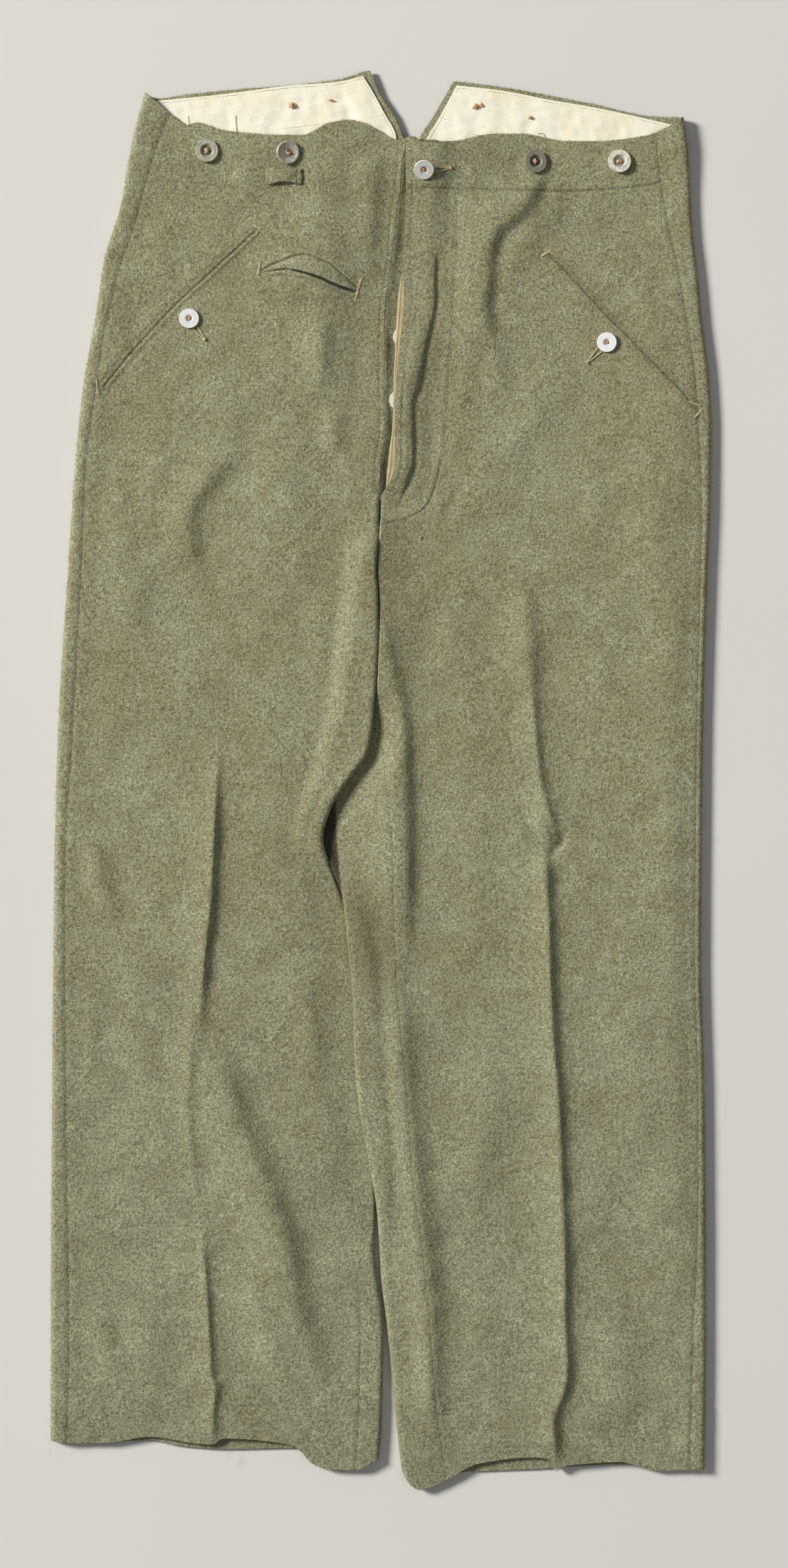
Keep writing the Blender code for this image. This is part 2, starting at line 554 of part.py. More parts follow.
def build():
    for ob in list(bpy.data.objects):
        bpy.data.objects.remove(ob, do_unlink=True)
    coll = bpy.data.collections.new("military_trousers")
    cutters = bpy.data.collections.new("cutters")
    bpy.context.scene.collection.children.link(coll)
    bpy.context.scene.collection.children.link(cutters)

    wool = make_material("wool_field_grey", (0.27, 0.265, 0.165), 0.95)
    wool_in = make_material("wool_dark", (0.20, 0.19, 0.115), 0.95)
    cream = make_material("cotton_cream", (0.92, 0.86, 0.68), 0.9)
    tan = make_material("cotton_tan", (0.47, 0.36, 0.2), 0.9)
    zinc = make_material("zinc_grey", (0.42, 0.42, 0.41), 0.45, 0.8)
    zinc_dark = make_material("zinc_dark", (0.16, 0.17, 0.18), 0.5, 0.7)
    white = make_material("zinc_bright", (0.85, 0.86, 0.85), 0.5, 0.3)

    right, left = Side("right"), Side("left")

    # the four leg pieces
    fr = panel(right, front_right_columns)
    fl = panel(left, front_left_columns)
    br = panel(right, back_columns)
    bl = panel(left, back_columns)
    ob_fr = grid_solid("front_right", fr, wool, coll)
    ob_fl = grid_solid("front_left", fl, wool, coll)
    grid_solid("back_right", br, wool, coll)
    grid_solid("back_left", bl, wool, coll)

    # cotton lining on the inside of each back, from its points moved in
    for name, pairs in (("waist_lining_right", br), ("waist_lining_left", bl)):
        last = len(pairs[0]) - 1
        js = (0.18, 1.0, 2.0, 2.6)
        is_ = (6.0, 7.0, 8.0, 9.0, 10.0, 12.0, last - 0.75)
        rows = []
        for j in js:
            row = []
            for i in is_:
                pnt, nrm = between(pairs, j, i)
                row.append((pnt - nrm * GAP * 1.6,
                            pnt - nrm * (GAP * 1.6 + COTTON)))
            rows.append(row)
        grid_solid(name, rows, cream, coll)

    # button stand: level with the right front at its seam, then under the fly
    reach = ((463, 42), (360, 29), (283, 26.5), (212, 15))   # y, right end x

    def stand(x, y):
        b = right.edge(y) - right.radius(y, False)
        low = 4.6 + left.waist_lift(y) + 0.8 * ease((y - 402.0) / 16.0)
        return mix(right.over(b, y), low, ease((x - b) / 4.0))
    ys, cols = [], []
    for row, yn in zip(fr, STATIONS):
        if yn < 212:
            break
        b, y = row[-1][0].x + GAP, row[-1][0].y
        e = column(reach, y)
        ys.append(y)
        cols.append([b, b + 1.6, b + 4.0, mix(b + 4, e, 0.5), e])
    grid_solid("fly_underlap", sheet_rows(ys, cols, stand, WOOL), wool_in,
               coll)

    # tan facing inside the fly edge: shows where it reaches past that edge
    shows = ((405, -1.0), (395, 0.2), (370, 2.5), (345, 4.0), (320, 3.4),
             (285, 1.2), (254, 1.4), (235, 3.6), (222, 4.2), (214, 1.0),
             (210, -0.5))
    ys = (398.0, 382.0, 364.0, 343.0, 320.0, 297.0, 272.0, 250.0, 236.0, 226.0)
    cols, rows = [], []
    for y in ys:
        b = column(LEFT_BOUND, y)
        cols.append([b - column(shows, y), b + 2, b + 8, b + 14])
        top = min(left.over(b + 3, y), left.over(b + 14, y),
                  FLY_TOP) - WOOL - GAP - 0.3
        rows.append([(Vector((x, y, top)), Vector((x, y, top - TAN)))
                     for x in cols[-1]])
    grid_solid("fly_facing", rows, tan, coll)

    # slanted pockets: a slit in each front and a wool strip behind it
    slits = (("right", ob_fr, (-88.5, 400.0), (-203.0, 282.5)),
             ("left", ob_fl, (121.0, 380.5), (226.5, 268.5)))
    for name, ob, (x0, y0), (x1, y1) in slits:
        cut_slit(ob, "slit_" + name, x0, y0, mix(x0, x1, 0.985),
                 mix(y0, y1, 0.985), cutters)
        n = Vector((y0 - y1, x1 - x0, 0)).normalized()
        rows = []
        for t in (0.02, 0.25, 0.5, 0.75, 0.955):
            c = Vector((mix(x0, x1, t), mix(y0, y1, t), 0))
            w = 9.0 if t < 0.9 else 5.0
            rows.append([(c + n * k + Vector((0, 0, 4.1)),
                          c + n * k + Vector((0, 0, 2.6)))
                         for k in (-w, 0.0, w)])
        grid_solid("pocket_facing_" + name, rows, wool_in, coll)

    # watch pocket: a short slit in two straight lengths, strip behind it
    for k, (x0, y0, x1, y1) in enumerate(((-62.5, 368.6, -42.0, 363.5),
                                          (-42.8, 363.9, -21.5, 354.5))):
        cut_slit(ob_fr, "slit_watch_%d" % k, x0, y0, x1, y1, cutters, 1.2)
    rows = []
    for x, y in ((-86, 367), (-64, 371), (-42, 365), (-20, 353)):
        rows.append([(Vector((x, y + d, 4.1)), Vector((x, y + d, 2.7)))
                     for d in (9, 0, -9)])
    grid_solid("watch_pocket_facing", rows, wool_in, coll)

    # watch-chain loop: an arched strip under the second brace button
    rows = []
    for x, z, w in ((-83.5, 0.0, 5.5), (-81.5, 0.35, 6.2), (-77.5, 2.0, 5.0),
                    (-70.8, 2.9, 4.6), (-64.0, 2.0, 5.0), (-60.0, 0.35, 6.2),
                    (-58.0, 0.0, 5.5)):
        base = right.over(x, 436) + 0.45
        cy = 436.5
        rows.append([(Vector((x, cy + d, base + z + 1.4)),
                      Vector((x, cy + d, base + z))) for d in (w, -w)])
    grid_solid("watch_chain_loop", rows, wool, coll)

    # buttons
    def seat(x, y, side, r):
        high = max(side.over(x + r * math.cos(a), y + r * math.sin(a))
                   for a in np.linspace(0, math.tau, 13))
        return max(high, side.over(x, y)) + GAP + 0.25
    for k, (x, y, side) in enumerate(((-126.5, 455.5, right),
                                      (-68.0, 454.5, right),
                                      (111.5, 447.5, left),
                                      (173.0, 448.0, left))):
        button("brace_button_front_%d" % (k + 1), BRACE_D, BRACE_T,
               (x, y, seat(x, y, side, 8)), zinc_dark if k == 2 else zinc,
               coll)
    for k, (x, y) in enumerate(((-64.5, 486.0), (76.0, 484.0))):
        button("brace_button_back_%d" % (k + 1), BRACE_D, 2.2, (x, y, 0.0),
               zinc, coll)
    button("waist_button", SMALL_D, SMALL_T, (31.0, 442.0, FLY_TOP + 0.5),
           white, coll)
    for k, (x, y) in enumerate(((17.5, 367.0), (14.8, 321.0), (13.6, 275.0),
                                (13.8, 232.0))):
        button("fly_button_%d" % (k + 1), SMALL_D, 2.3,
               (x, y, stand(x + 20, y) + 0.45), white, coll)
    button("pocket_button_right", SMALL_D, SMALL_T,
           (-139.0, 334.5, seat(-139.0, 334.5, right, 7)), white, coll)
    button("pocket_button_left", SMALL_D, SMALL_T,
           (164.0, 317.0, seat(164.0, 317.0, left, 7)), white, coll)


build()
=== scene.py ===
# Heavy wool military trousers laid out flat, face up: the finished surfaces.
# X runs from the wearer's right to the wearer's left, Y from hems to waist.
# Tables are in millimetres, or in plan units of 0.455 mm read from above
# (u to the right, v down), which plan() turns into millimetres.
import math

import bmesh
import bpy
import numpy as np
from mathutils import Matrix, Vector


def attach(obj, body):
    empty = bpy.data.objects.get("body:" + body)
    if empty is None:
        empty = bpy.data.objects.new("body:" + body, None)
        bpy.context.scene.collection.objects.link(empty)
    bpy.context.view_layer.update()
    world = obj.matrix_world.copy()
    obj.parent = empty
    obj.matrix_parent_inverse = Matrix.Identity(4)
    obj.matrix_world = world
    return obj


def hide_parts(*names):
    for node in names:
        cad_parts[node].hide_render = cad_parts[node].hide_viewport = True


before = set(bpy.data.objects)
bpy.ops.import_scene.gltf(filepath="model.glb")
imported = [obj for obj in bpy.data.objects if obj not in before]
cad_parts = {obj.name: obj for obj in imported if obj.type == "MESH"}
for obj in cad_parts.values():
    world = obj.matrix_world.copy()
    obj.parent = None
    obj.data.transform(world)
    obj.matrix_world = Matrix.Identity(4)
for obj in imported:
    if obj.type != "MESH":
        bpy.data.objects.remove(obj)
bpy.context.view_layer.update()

MM = 0.001
WOOL, COTTON, TAN, GAP = 1.8, 1.0, 1.0, 0.16
TOP, EDGE = 6.4, 7.4
PRESSED, LIFT = 4.2, 4.7
FLY_TOP, WAIST_LIFT = 10.9, 2.8
UNDER, CROTCH_Y = 25.0, 185.5
BRACE_D, SMALL_D = 16.8, 14.4
MID_Y = -0.45
UNIT = 0.455

STATIONS = (472.0, 456.0, 438.0, 415.0, 388.0, 358.0, 325.0, 292.0, 260.0,
            231.0, 213.0, 199.0, 192.0, 185.5, 178.0, 171.0, 157.0, 136.0,
            108.0, 72.0, 36.0, 0.0, -19.5, -43.0, -65.0, -95.0, -150.0,
            -215.0, -262.0, -296.0, -316.0, -327.0, -338.0, -350.0, -366.0,
            -396.0, -432.0, -458.0, -480.0)

RIGHT_SIDE = (  # y, outer edge x, side seam x
    (498, -171.5, -146.5), (478.5, -177, -153), (451.5, -183, -163),
    (417.5, -189, -174.5), (376, -201.5, -187.5), (338.5, -207, -198.5),
    (288, -216, -206), (231.5, -222, -214), (144.5, -228, -218),
    (40, -234.5, -223.5), (-71.5, -237.5, -229.5), (-231, -239, -229),
    (-400.5, -240, -226.5), (-500, -240, -228.5))
LEFT_SIDE = (  # y, outer edge x, side seam x
    (480.5, 219.5, 197), (457, 223, 200), (430, 224.5, 203.5),
    (395.5, 226.5, 210), (367, 230, 216), (331, 233.5, 222), (295, 238, 227.5),
    (256, 240, 230), (206, 239.5, 232.5), (142, 237, 231.5), (40.5, 234, 229),
    (-49, 233, 228), (-127.5, 232.5, 227.5), (-231, 235, 230),
    (-281, 235.5, 230), (-344.5, 236, 229), (-410, 236, 226),
    (-500.5, 235, 223.5))
RIGHT_INNER = (  # y, edge x
    (463, 21), (417, 16.5), (398, 12.5), (349.5, 7), (321, 5), (277.5, 4.5),
    (244.5, 5.5), (210, 0.4), (199, -0.6), (192, -0.8), (185.5, -1),
    (178, -1.2), (171, -1.8), (162, -2.7), (150, -3.2),
    (136, -2), (109.5, -1.5), (83.5, -2.5), (48.5, -5),
    (19.5, -9.5), (0, -23), (-19.5, -35.5), (-43, -42), (-63.5, -36.5),
    (-86, -28), (-108, -22), (-140, -16), (-181, -11.5), (-226.5, -7.5),
    (-281, -4), (-316, -4), (-338, -4.5), (-363, -2.5), (-382, 0.5),
    (-400.5, 2), (-429, 1.5), (-466.5, 0.5), (-500, -2))
LEFT_INNER = (  # y, edge x
    (199, -0.5), (185.5, -1.0), (178, -1.7), (172, -3.4), (158, -6),
    (142, -8), (119.5, -12), (87.5, -16), (55.5, -20), (24, -27),
    (0, -35), (-19.5, -43.5), (-36, -48), (-48, -47), (-58, -41),
    (-68, -35), (-86, -28.6), (-124, -24), (-156, -21),
    (-212.5, -19), (-267.5, -11), (-316, -3), (-338, -1.5), (-363, 0),
    (-391, 3.5), (-419.5, 6.5), (-448, 9), (-485.5, 13), (-502.5, 15))
LEFT_BOUND = (  # y, x: fly edge, crotch seam, then inseam on top
    (463, 17.5), (417, 18), (369, 15.5), (321, 9.5), (283, 7.5), (254, 7),
    (216, 3), (206.5, 0.6), (199, -0.3), (185.5, -0.3), (172, -1.2),
    (156, -2.3), (133, -1.3), (110.5, -0.9), (87.5, -1.6), (55.5, -1.6),
    (30, 0.4), (10, 1.8), (-43, 7.5),
    (-109, 9), (-165.5, 12.5), (-231, 18.5), (-287.5, 22.5), (-334.5, 29),
    (-387.5, 34.5), (-438.5, 38.5), (-476, 44), (-500.5, 47))
RIGHT_TURN = (  # y, inseam from the fold, + on top, - underneath
    (199, 1.5), (192, -3), (185.5, -6.5), (171, -15), (157, -UNDER),
    (-296, -UNDER), (-316, -14), (-327, -5), (-338, 5), (-350, 14),
    (-363, 17), (-392, 19), (-500, 19))
RIGHT_CREASE = (  # y, x
    (472, -112), (247, -114.5), (20, -117.5), (-24, -121), (-52, -123),
    (-90, -122), (-124, -127), (-175, -133.5), (-203, -131.5),
    (-313.5, -132.5), (-354, -128), (-438.5, -122), (-500, -119))
LEFT_CREASE = (  # y, x
    (467.5, 87.5), (338, 94), (201.5, 101), (94.5, 104), (42, 113),
    (4.5, 117), (-24, 124), (-39, 127), (-60.5, 122), (-81, 122.5),
    (-156, 122.5), (-253.5, 132), (-344, 134.5), (-453.5, 131), (-500, 130))
FLY_EDGE = (  # y, cut edge of the left front over the fly
    (463, 17.7), (417, 18.2), (392, 17), (369, 15.9), (348.5, 16.6),
    (325, 14.8), (301.5, 12), (274, 10.2), (253, 10), (229, 10.2),
    (220, 8.3), (212.5, 4.9), (207.5, 0.8), (204, -0.3), (199, -0.4),
    (192, -0.4), (185.5, -0.3))
FLY_LINE = (  # y, x of the right front's edge, where the underlap shows
    (464, 18), (453.5, 15.5), (432, 14.1), (416, 11.4), (392.5, 9.6),
    (377, 7.6), (355.6, 4.8), (348, 2.9), (322.8, 2.3), (287.8, 2.3),
    (266.8, 2.7), (250, 3), (243, 2), (237, 0.2), (232, -0.4), (219.6, -1),
    (206, -1.3), (199, -1.2))
FLY_FALL = (  # y, x where the cloth falls off the fly's stack
    (463, 43.5), (429, 42), (379, 39), (359.5, 40.5), (311.5, 32), (283, 25),
    (235, 24), (216, 19), (200.5, 16), (178.5, 14.5), (142, 13), (103.5, 12),
    (76, 14), (49.5, 18.5), (-24, 24), (-90, 21.5), (-146.5, 25.5),
    (-203, 30), (-276.5, 39), (-413, 50), (-500, 59))
TWIST = (  # y, right lift, right height, left lift, left height
    (199, 0, EDGE, 0, 3.0), (185.5, 0, EDGE, 0, 3.0),
    (178, 3.2, 5.2, 0, 3.3), (171, 6.2, 4.4, 0, PRESSED),
    (70, 6.2, 4.4, 0, PRESSED), (20, LIFT + 0.6, 6.2, 0, PRESSED),
    (-36, LIFT + 0.6, 6.6, 0, PRESSED), (-52, 3.6, 6.4, 0, PRESSED),
    (-64, 0, 6.0, 0, 6.0), (-70, 0, 5.2, 1.2, 6.0),
    (-84, 0, PRESSED, LIFT, 4.6), (-296, 0, PRESSED, LIFT, 4.6),
    (-316, 0, 4.6, LIFT, 4.6), (-350, 0, 6.4, 0, 6.4), (-500, 0, 7, 0, 7))
WAIST_FRONT_RIGHT = (
    (-171.5, 498), (-163, 491), (-150, 480), (-140.5, 474.5), (-134, 476),
    (-114, 470.5), (-69, 467), (-57, 467), (-38.5, 475.5), (-24.5, 478),
    (-12, 475.5), (12, 464), (17.5, 465), (30, 466))
WAIST_FRONT_LEFT = (
    (17, 465), (23.5, 466), (30.5, 462), (50, 462.5), (84, 468), (100.5, 468),
    (136.5, 462.5), (154, 462.5), (194, 467), (205, 471.5), (214, 476),
    (219.5, 480.5))
WAIST_BACK_RIGHT = (
    (-171.5, 498), (-163, 494), (-140, 497), (-110.5, 500), (-33, 507.5),
    (-9, 514.5))
WAIST_BACK_LEFT = (
    (53.6, 506.6), (89.5, 502), (149, 491), (205.5, 480.5), (219.5, 480.5))
HEM_FRONT_RIGHT = (
    (-240, -480), (-225, -481.5), (-202, -481.5), (-168.5, -477),
    (-136, -481.5), (-123, -482.5), (-114, -478), (-79.5, -480.5),
    (-63, -484), (-47.5, -498), (-38, -500.5), (-19, -501), (-2, -493))
HEM_BACK_RIGHT = (
    (-240, -480), (-204, -481), (-168.5, -480), (-147.5, -484),
    (-114, -486.5), (-63, -485.5), (-38, -497.5), (-19, -499.5), (-2, -493))
HEM_FRONT_LEFT = (
    (15, -502.5), (21.5, -512), (27.5, -515.5), (34.5, -514), (48, -508),
    (59, -501.5), (70.5, -496.5), (110, -492), (121.5, -493), (127, -501.5),
    (134.5, -498), (148, -496.5), (172.5, -495), (200.5, -501.5),
    (235, -500.5))
HEM_BACK_LEFT = (
    (15, -502.5), (34.5, -511), (60, -503), (82, -502), (118, -500.5),
    (133, -499.5), (178.5, -497.5), (205.5, -501), (235, -500.5))
V_RIGHT = ((514.5, -9), (497, -2), (481.5, 9), (464.5, 15.5), (440, 8),
           (190, 0))
V_LEFT = ((507, 53.6), (484.5, 41), (464.5, 27.5), (440, 8), (190, 0))

# Soft folds, each a line on the plan with a height (mm, - is a valley) and a
# half width (mm) on its left and right, seen walking down the line.
# kind 0 is rounded, 1 has a crisp top, 2 drops off steeply on its right.  The last two numbers are how much of
# its length it takes to fade in and out.
FOLDS = {
    "right": (
        (2.9, 15, 4.2, 1, .35, .3, ((352, 1140), (345, 1270), (340, 1365),
                                    (337, 1429), (327, 1525), (322, 1597),
                                    (318, 1700))),
        (1.2, 9, 4, 1, .3, .4, ((311, 1590), (303, 1708), (300, 1780),
                                (309, 1860), (318, 1950))),
        (2.0, 9, 3.5, 1, .3, .12, ((318, 1920), (328, 2027), (335, 2147),
                                 (337, 2190), (345, 2214), (340, 2252),
                                 (343, 2310))),
        (4.0, 24, 11.5, 0, .2, .4, ((335, 1630), (350, 1700), (366, 1760),
                                    (394, 1828), (420, 1892), (440, 1947),
                                    (456, 2000), (466, 2067), (484, 2131),
                                    (500, 2187), (515, 2290))),
        (1.3, 12, 9, 0, .4, .4, ((386, 1990), (418, 2107), (442, 2179),
                                 (460, 2260))),
        (1.0, 9, 8, 0, .4, .4, ((466, 1535), (488, 1600), (497, 1660),
                                (494, 1740))),
        (-1.2, 2.4, 2.8, 0, .35, .3, ((450, 1512), (480, 1515), (505, 1519),
                                      (530, 1527), (560, 1538))),
        (1.4, 9, 6, 0, .4, .4, ((148, 1320), (164, 1413), (186, 1480))),
        (0.5, 8, 7, 0, .4, .4, ((142, 1540), (146, 1640), (140, 1740))),
        (1.0, 10, 8, 0, .4, .4, ((148, 2080), (176, 2163), (194, 2230))),
        (2.0, 13, 8, 0, .3, .4, ((392, 690), (352, 740), (318, 779),
                                 (298, 822), (304, 880), (306, 960))),
        (1.7, 10, 7, 0, .35, .35, ((520, 484), (515, 535), (511, 582),
                                   (518, 636))),
        (1.4, 9, 7, 0, .35, .35, ((532, 636), (535, 676), (528, 734))),
        (1.8, 12, 8, 0, .2, .5, ((594, 225), (590, 300), (587, 380),
                                 (580, 470))),
        (1.0, 22, 16, 0, .5, .4, ((470, 560), (462, 760), (500, 980))),
        (1.1, 20, 14, 0, .5, .5, ((180, 720), (205, 900), (222, 1120))),
        (0.9, 26, 20, 0, .5, .5, ((430, 1080), (440, 1280), (452, 1480))),
        (0.8, 18, 16, 0, .4, .5, ((235, 1420), (228, 1640), (236, 1900))),
        (0.7, 14, 12, 0, .4, .3, ((228, 1980), (236, 2120), (240, 2290))),
        (-0.7, 9, 9, 0, .5, .5, ((360, 300), (395, 350), (420, 372))),
        (0.8, 10, 9, 0, .4, .4, ((330, 600), (352, 640), (400, 690))),
        (-0.8, 7, 8, 0, .3, .4, ((462, 470), (500, 486), (548, 492))),
        (0.7, 14, 12, 0, .3, .5, ((386, 230), (392, 290), (380, 350))),
        (1.4, 26, 20, 0, .3, .4, ((528, 215), (520, 330), (508, 420),
                                  (500, 560), (512, 700))),
        (0.5, 7, 6, 0, .4, .4, ((250, 350), (262, 420), (258, 480))),
        (0.5, 6, 7, 0, .4, .4, ((180, 470), (192, 520), (188, 590))),
        (-0.5, 6, 6, 0, .4, .4, ((560, 500), (572, 580), (566, 660))),
        (0.5, 8, 7, 0, .4, .4, ((260, 700), (240, 780), (236, 880))),
        (0.5, 9, 8, 0, .4, .4, ((500, 900), (512, 1020), (508, 1150))),
    ),
    "left": (
        (2.8, 22, 9, 2, .2, .35, ((872, 240), (852, 280), (838, 310),
                                  (820, 334), (786, 360), (772, 398),
                                  (768, 450), (764, 500), (776, 556),
                                  (794, 606))),
        (0.9, 8, 10, 0, .2, .4, ((900, 300), (872, 345), (832, 384),
                                 (812, 440), (812, 510))),
        (-0.8, 6, 6, 0, .3, .3, ((834, 236), (828, 262), (812, 300))),
        (0.6, 7, 7, 0, .4, .4, ((930, 700), (946, 790), (948, 880))),
        (0.5, 7, 6, 0, .4, .4, ((1010, 420), (1030, 480), (1040, 540))),
        (0.5, 8, 8, 0, .4, .4, ((742, 470), (748, 560), (744, 650))),
        (1.4, 34, 22, 0, .15, .2, ((1078, 360), (1084, 700), (1084, 1200),
                                   (1080, 1700), (1076, 2290))),
        (0.8, 9, 8, 0, .4, .4, ((782, 530), (790, 575), (800, 640))),
        (0.8, 12, 9, 0, .4, .4, ((840, 590), (850, 650), (856, 720))),
        (0.35, 8, 8, 0, .3, .4, ((712, 330), (713, 375), (716, 440))),
        (-0.78, 1.5, 3.8, 0, .06, .12, ((699, 400), (698, 425), (697, 455),
                                        (698, 470), (697, 485), (694, 505),
                                        (688, 530), (681, 560), (676, 590),
                                        (669, 620), (662, 638), (661, 665),
                                        (662, 690), (663, 720), (661, 745),
                                        (652, 770), (643, 792), (634, 815))),
        (0.42, 9, 9, 0, .15, .2, ((682, 400), (680, 470), (670, 540),
                                  (656, 600), (644, 650), (646, 720),
                                  (636, 770), (622, 800))),
        (-0.8, 4, 5, 0, .4, .4, ((737, 775), (720, 806), (706, 828))),
        (1.6, 13, 7, 0, .5, .2, ((826, 870), (843, 995), (846, 1060),
                                 (849, 1110))),
        (2.5, 14, 6, 1, .35, .12, ((845, 1030), (850, 1110), (856, 1189),
                                   (864, 1254), (878, 1305), (893, 1345))),
        (3.3, 15, 5.5, 1, .05, .05, ((866, 1345), (871, 1389), (875, 1469),
                                     (877, 1549), (883, 1668), (890, 1748),
                                     (894, 1844), (898, 1947), (901, 2027),
                                     (900, 2100), (904, 2160), (903, 2200),
                                     (893, 2232), (882, 2262), (885, 2300),
                                     (888, 2340))),
        (-1.3, 2.2, 2.4, 0, .3, .25, ((824, 1278), (838, 1305), (852, 1332),
                                      (870, 1356))),
        (1.2, 3.5, 3.0, 0, .35, .3, ((852, 1290), (868, 1322), (884, 1347))),
        (-1.5, 2.4, 2.2, 0, .3, .3, ((905, 1330), (893, 1350), (872, 1362))),
        (0.9, 14, 12, 0, .4, .4, ((776, 1620), (778, 1780), (780, 1960))),
        (0.7, 12, 10, 0, .4, .4, ((750, 1780), (754, 1880), (760, 1990))),
        (2.9, 20, 10, 2, .3, .25, ((592, 880), (597, 940), (603, 1000),
                                    (614, 1060), (626, 1120), (631, 1180),
                                    (636, 1240), (638, 1300), (638, 1360),
                                    (638, 1420), (636, 1500), (630, 1570))),
        (2.7, 13, 11, 0, .22, .1, ((618, 1500), (632, 1600), (640, 1700),
                                   (650, 1800), (661, 1880), (668, 1948),
                                   (678, 2027), (684, 2100), (685, 2147),
                                   (680, 2203), (694, 2300))),
        (1.5, 2.6, 9, 0, .15, .4, ((537, 1268), (538, 1323), (541, 1364),
                                   (544, 1400), (549, 1435), (554, 1466),
                                   (556, 1500), (559, 1541), (563, 1592))),
        (0.8, 16, 12, 0, .5, .5, ((1040, 700), (1046, 860), (1050, 1040))),
        (0.7, 22, 16, 0, .5, .5, ((960, 880), (968, 1080), (972, 1260))),
        (0.9, 18, 16, 0, .5, .4, ((1000, 1400), (1008, 1640), (1010, 1900))),
        (0.7, 14, 14, 0, .4, .3, ((980, 2020), (985, 2160), (992, 2300))),
        (0.8, 16, 14, 0, .5, .5, ((720, 900), (728, 1020), (742, 1160))),
        (0.7, 14, 12, 0, .5, .5, ((760, 1240), (764, 1380), (770, 1520))),
        (-0.6, 8, 8, 0, .4, .4, ((840, 690), (862, 740), (900, 770))),
        (1.0, 5, 5, 0, .3, .3, ((1085, 290), (1092, 330), (1094, 372))),
        (-0.5, 1.2, 1.4, 0, .3, .3, ((1098, 1190), (1094, 1215),
                                     (1088, 1240))),
    ),
}


FOLD_GAIN = 1.75


# ------------------------------------------------------------- small helpers
def plan(points):
    """Plan units read from above to the tables' millimetres."""
    return [((u - 608.0) * UNIT, (1242.5 - v) * UNIT) for u, v in points]


def ease(t):
    t = np.clip(t, 0.0, 1.0)
    return t * t * (3.0 - 2.0 * t)


def mix(a, b, t):
    return a + (b - a) * t


class Curve:
    """A table read as a smooth curve with no overshoot (or as straight
    runs), over its first column."""

    def __init__(self, rows, k=1, smooth=True):
        rows = sorted((float(r[0]), float(r[k])) for r in rows)
        x, y = np.array(rows).T
        keep = np.concatenate([[True], np.diff(x) > 1e-6])
        self.x, self.y, self.smooth = x[keep], y[keep], smooth
        if smooth:
            h = np.diff(self.x)
            d = np.diff(self.y) / h
            m = np.zeros_like(self.y)
            m[0], m[-1] = d[0], d[-1]
            same = d[:-1] * d[1:] > 0
            w1, w2 = 2 * h[1:] + h[:-1], h[1:] + 2 * h[:-1]
            with np.errstate(divide="ignore", invalid="ignore"):
                hm = (w1 + w2) / (w1 / d[:-1] + w2 / d[1:])
            m[1:-1] = np.where(same, hm, 0.0)
            self.h, self.m = h, m

    def __call__(self, t):
        t = np.asarray(t, float)
        if not self.smooth:
            return np.interp(t, self.x, self.y)
        t = np.clip(t, self.x[0], self.x[-1])
        i = np.clip(np.searchsorted(self.x, t, side="right") - 1, 0,
                    len(self.h) - 1)
        h = self.h[i]
        u = (t - self.x[i]) / h
        y0, y1 = self.y[i], self.y[i + 1]
        m0, m1 = self.m[i] * h, self.m[i + 1] * h
        return ((2 * u ** 3 - 3 * u ** 2 + 1) * y0 + (u ** 3 - 2 * u ** 2 + u)
                * m0 + (3 * u ** 2 - 2 * u ** 3) * y1 + (u ** 3 - u ** 2) * m1)


def waves(x, y, length, seed, count=22):
    """Even, patternless unevenness of about one unit, seeded."""
    r = np.random.default_rng(seed)
    z = np.zeros(np.shape(x))
    for _ in range(count):
        a = r.uniform(0, math.tau)
        k = math.tau / (length * r.uniform(0.65, 1.6))
        z = z + np.sin((x * math.cos(a) + y * math.sin(a)) * k
                       + r.uniform(0, math.tau))
    return z / math.sqrt(count / 2)


def smooth_path(points, step=4.0):
    """Points about step apart on a smooth curve through the given ones."""
    p = np.array(points, float)
    if len(p) < 3:
        n = max(2, int(np.hypot(*(p[-1] - p[0])) / step) + 1)
        return p[0] + (p[-1] - p[0]) * np.linspace(0, 1, n)[:, None]
    q = np.vstack([2 * p[0] - p[1], p, 2 * p[-1] - p[-2]])
    out = []
    for i in range(1, len(q) - 2):
        n = max(1, int(np.hypot(*(q[i + 1] - q[i])) / step))
        for t in np.arange(n) / n:
            out.append(0.5 * (2 * q[i] + (q[i + 1] - q[i - 1]) * t
                              + (2 * q[i - 1] - 5 * q[i] + 4 * q[i + 1]
                                 - q[i + 2]) * t * t
                              + (3 * q[i] - q[i - 1] - 3 * q[i + 1]
                                 + q[i + 2]) * t ** 3))
    out.append(p[-1])
    return np.array(out)


def along(x, y, path):
    """Signed distance to a path, + on the right of someone walking it, and
    the share of its length reached."""
    path = np.asarray(path, float)
    seg = np.diff(path, axis=0)
    n = np.hypot(seg[:, 0], seg[:, 1])
    at = np.concatenate([[0.0], np.cumsum(n)]) / n.sum()
    best = np.full(np.shape(x), 1e9)
    side = np.zeros(np.shape(x))
    share = np.zeros(np.shape(x))
    for i in range(len(seg)):
        dx, dy = x - path[i, 0], y - path[i, 1]
        t = np.clip((dx * seg[i, 0] + dy * seg[i, 1]) / n[i] ** 2, 0, 1)
        ex, ey = dx - t * seg[i, 0], dy - t * seg[i, 1]
        d = np.hypot(ex, ey)
        near = d < best
        best = np.where(near, d, best)
        turn = dx * seg[i, 1] - dy * seg[i, 0]
        side = np.where(near, np.where(turn > 0, 1.0, -1.0), side)
        share = np.where(near, at[i] + t * (at[i + 1] - at[i]), share)
    return best * side, share


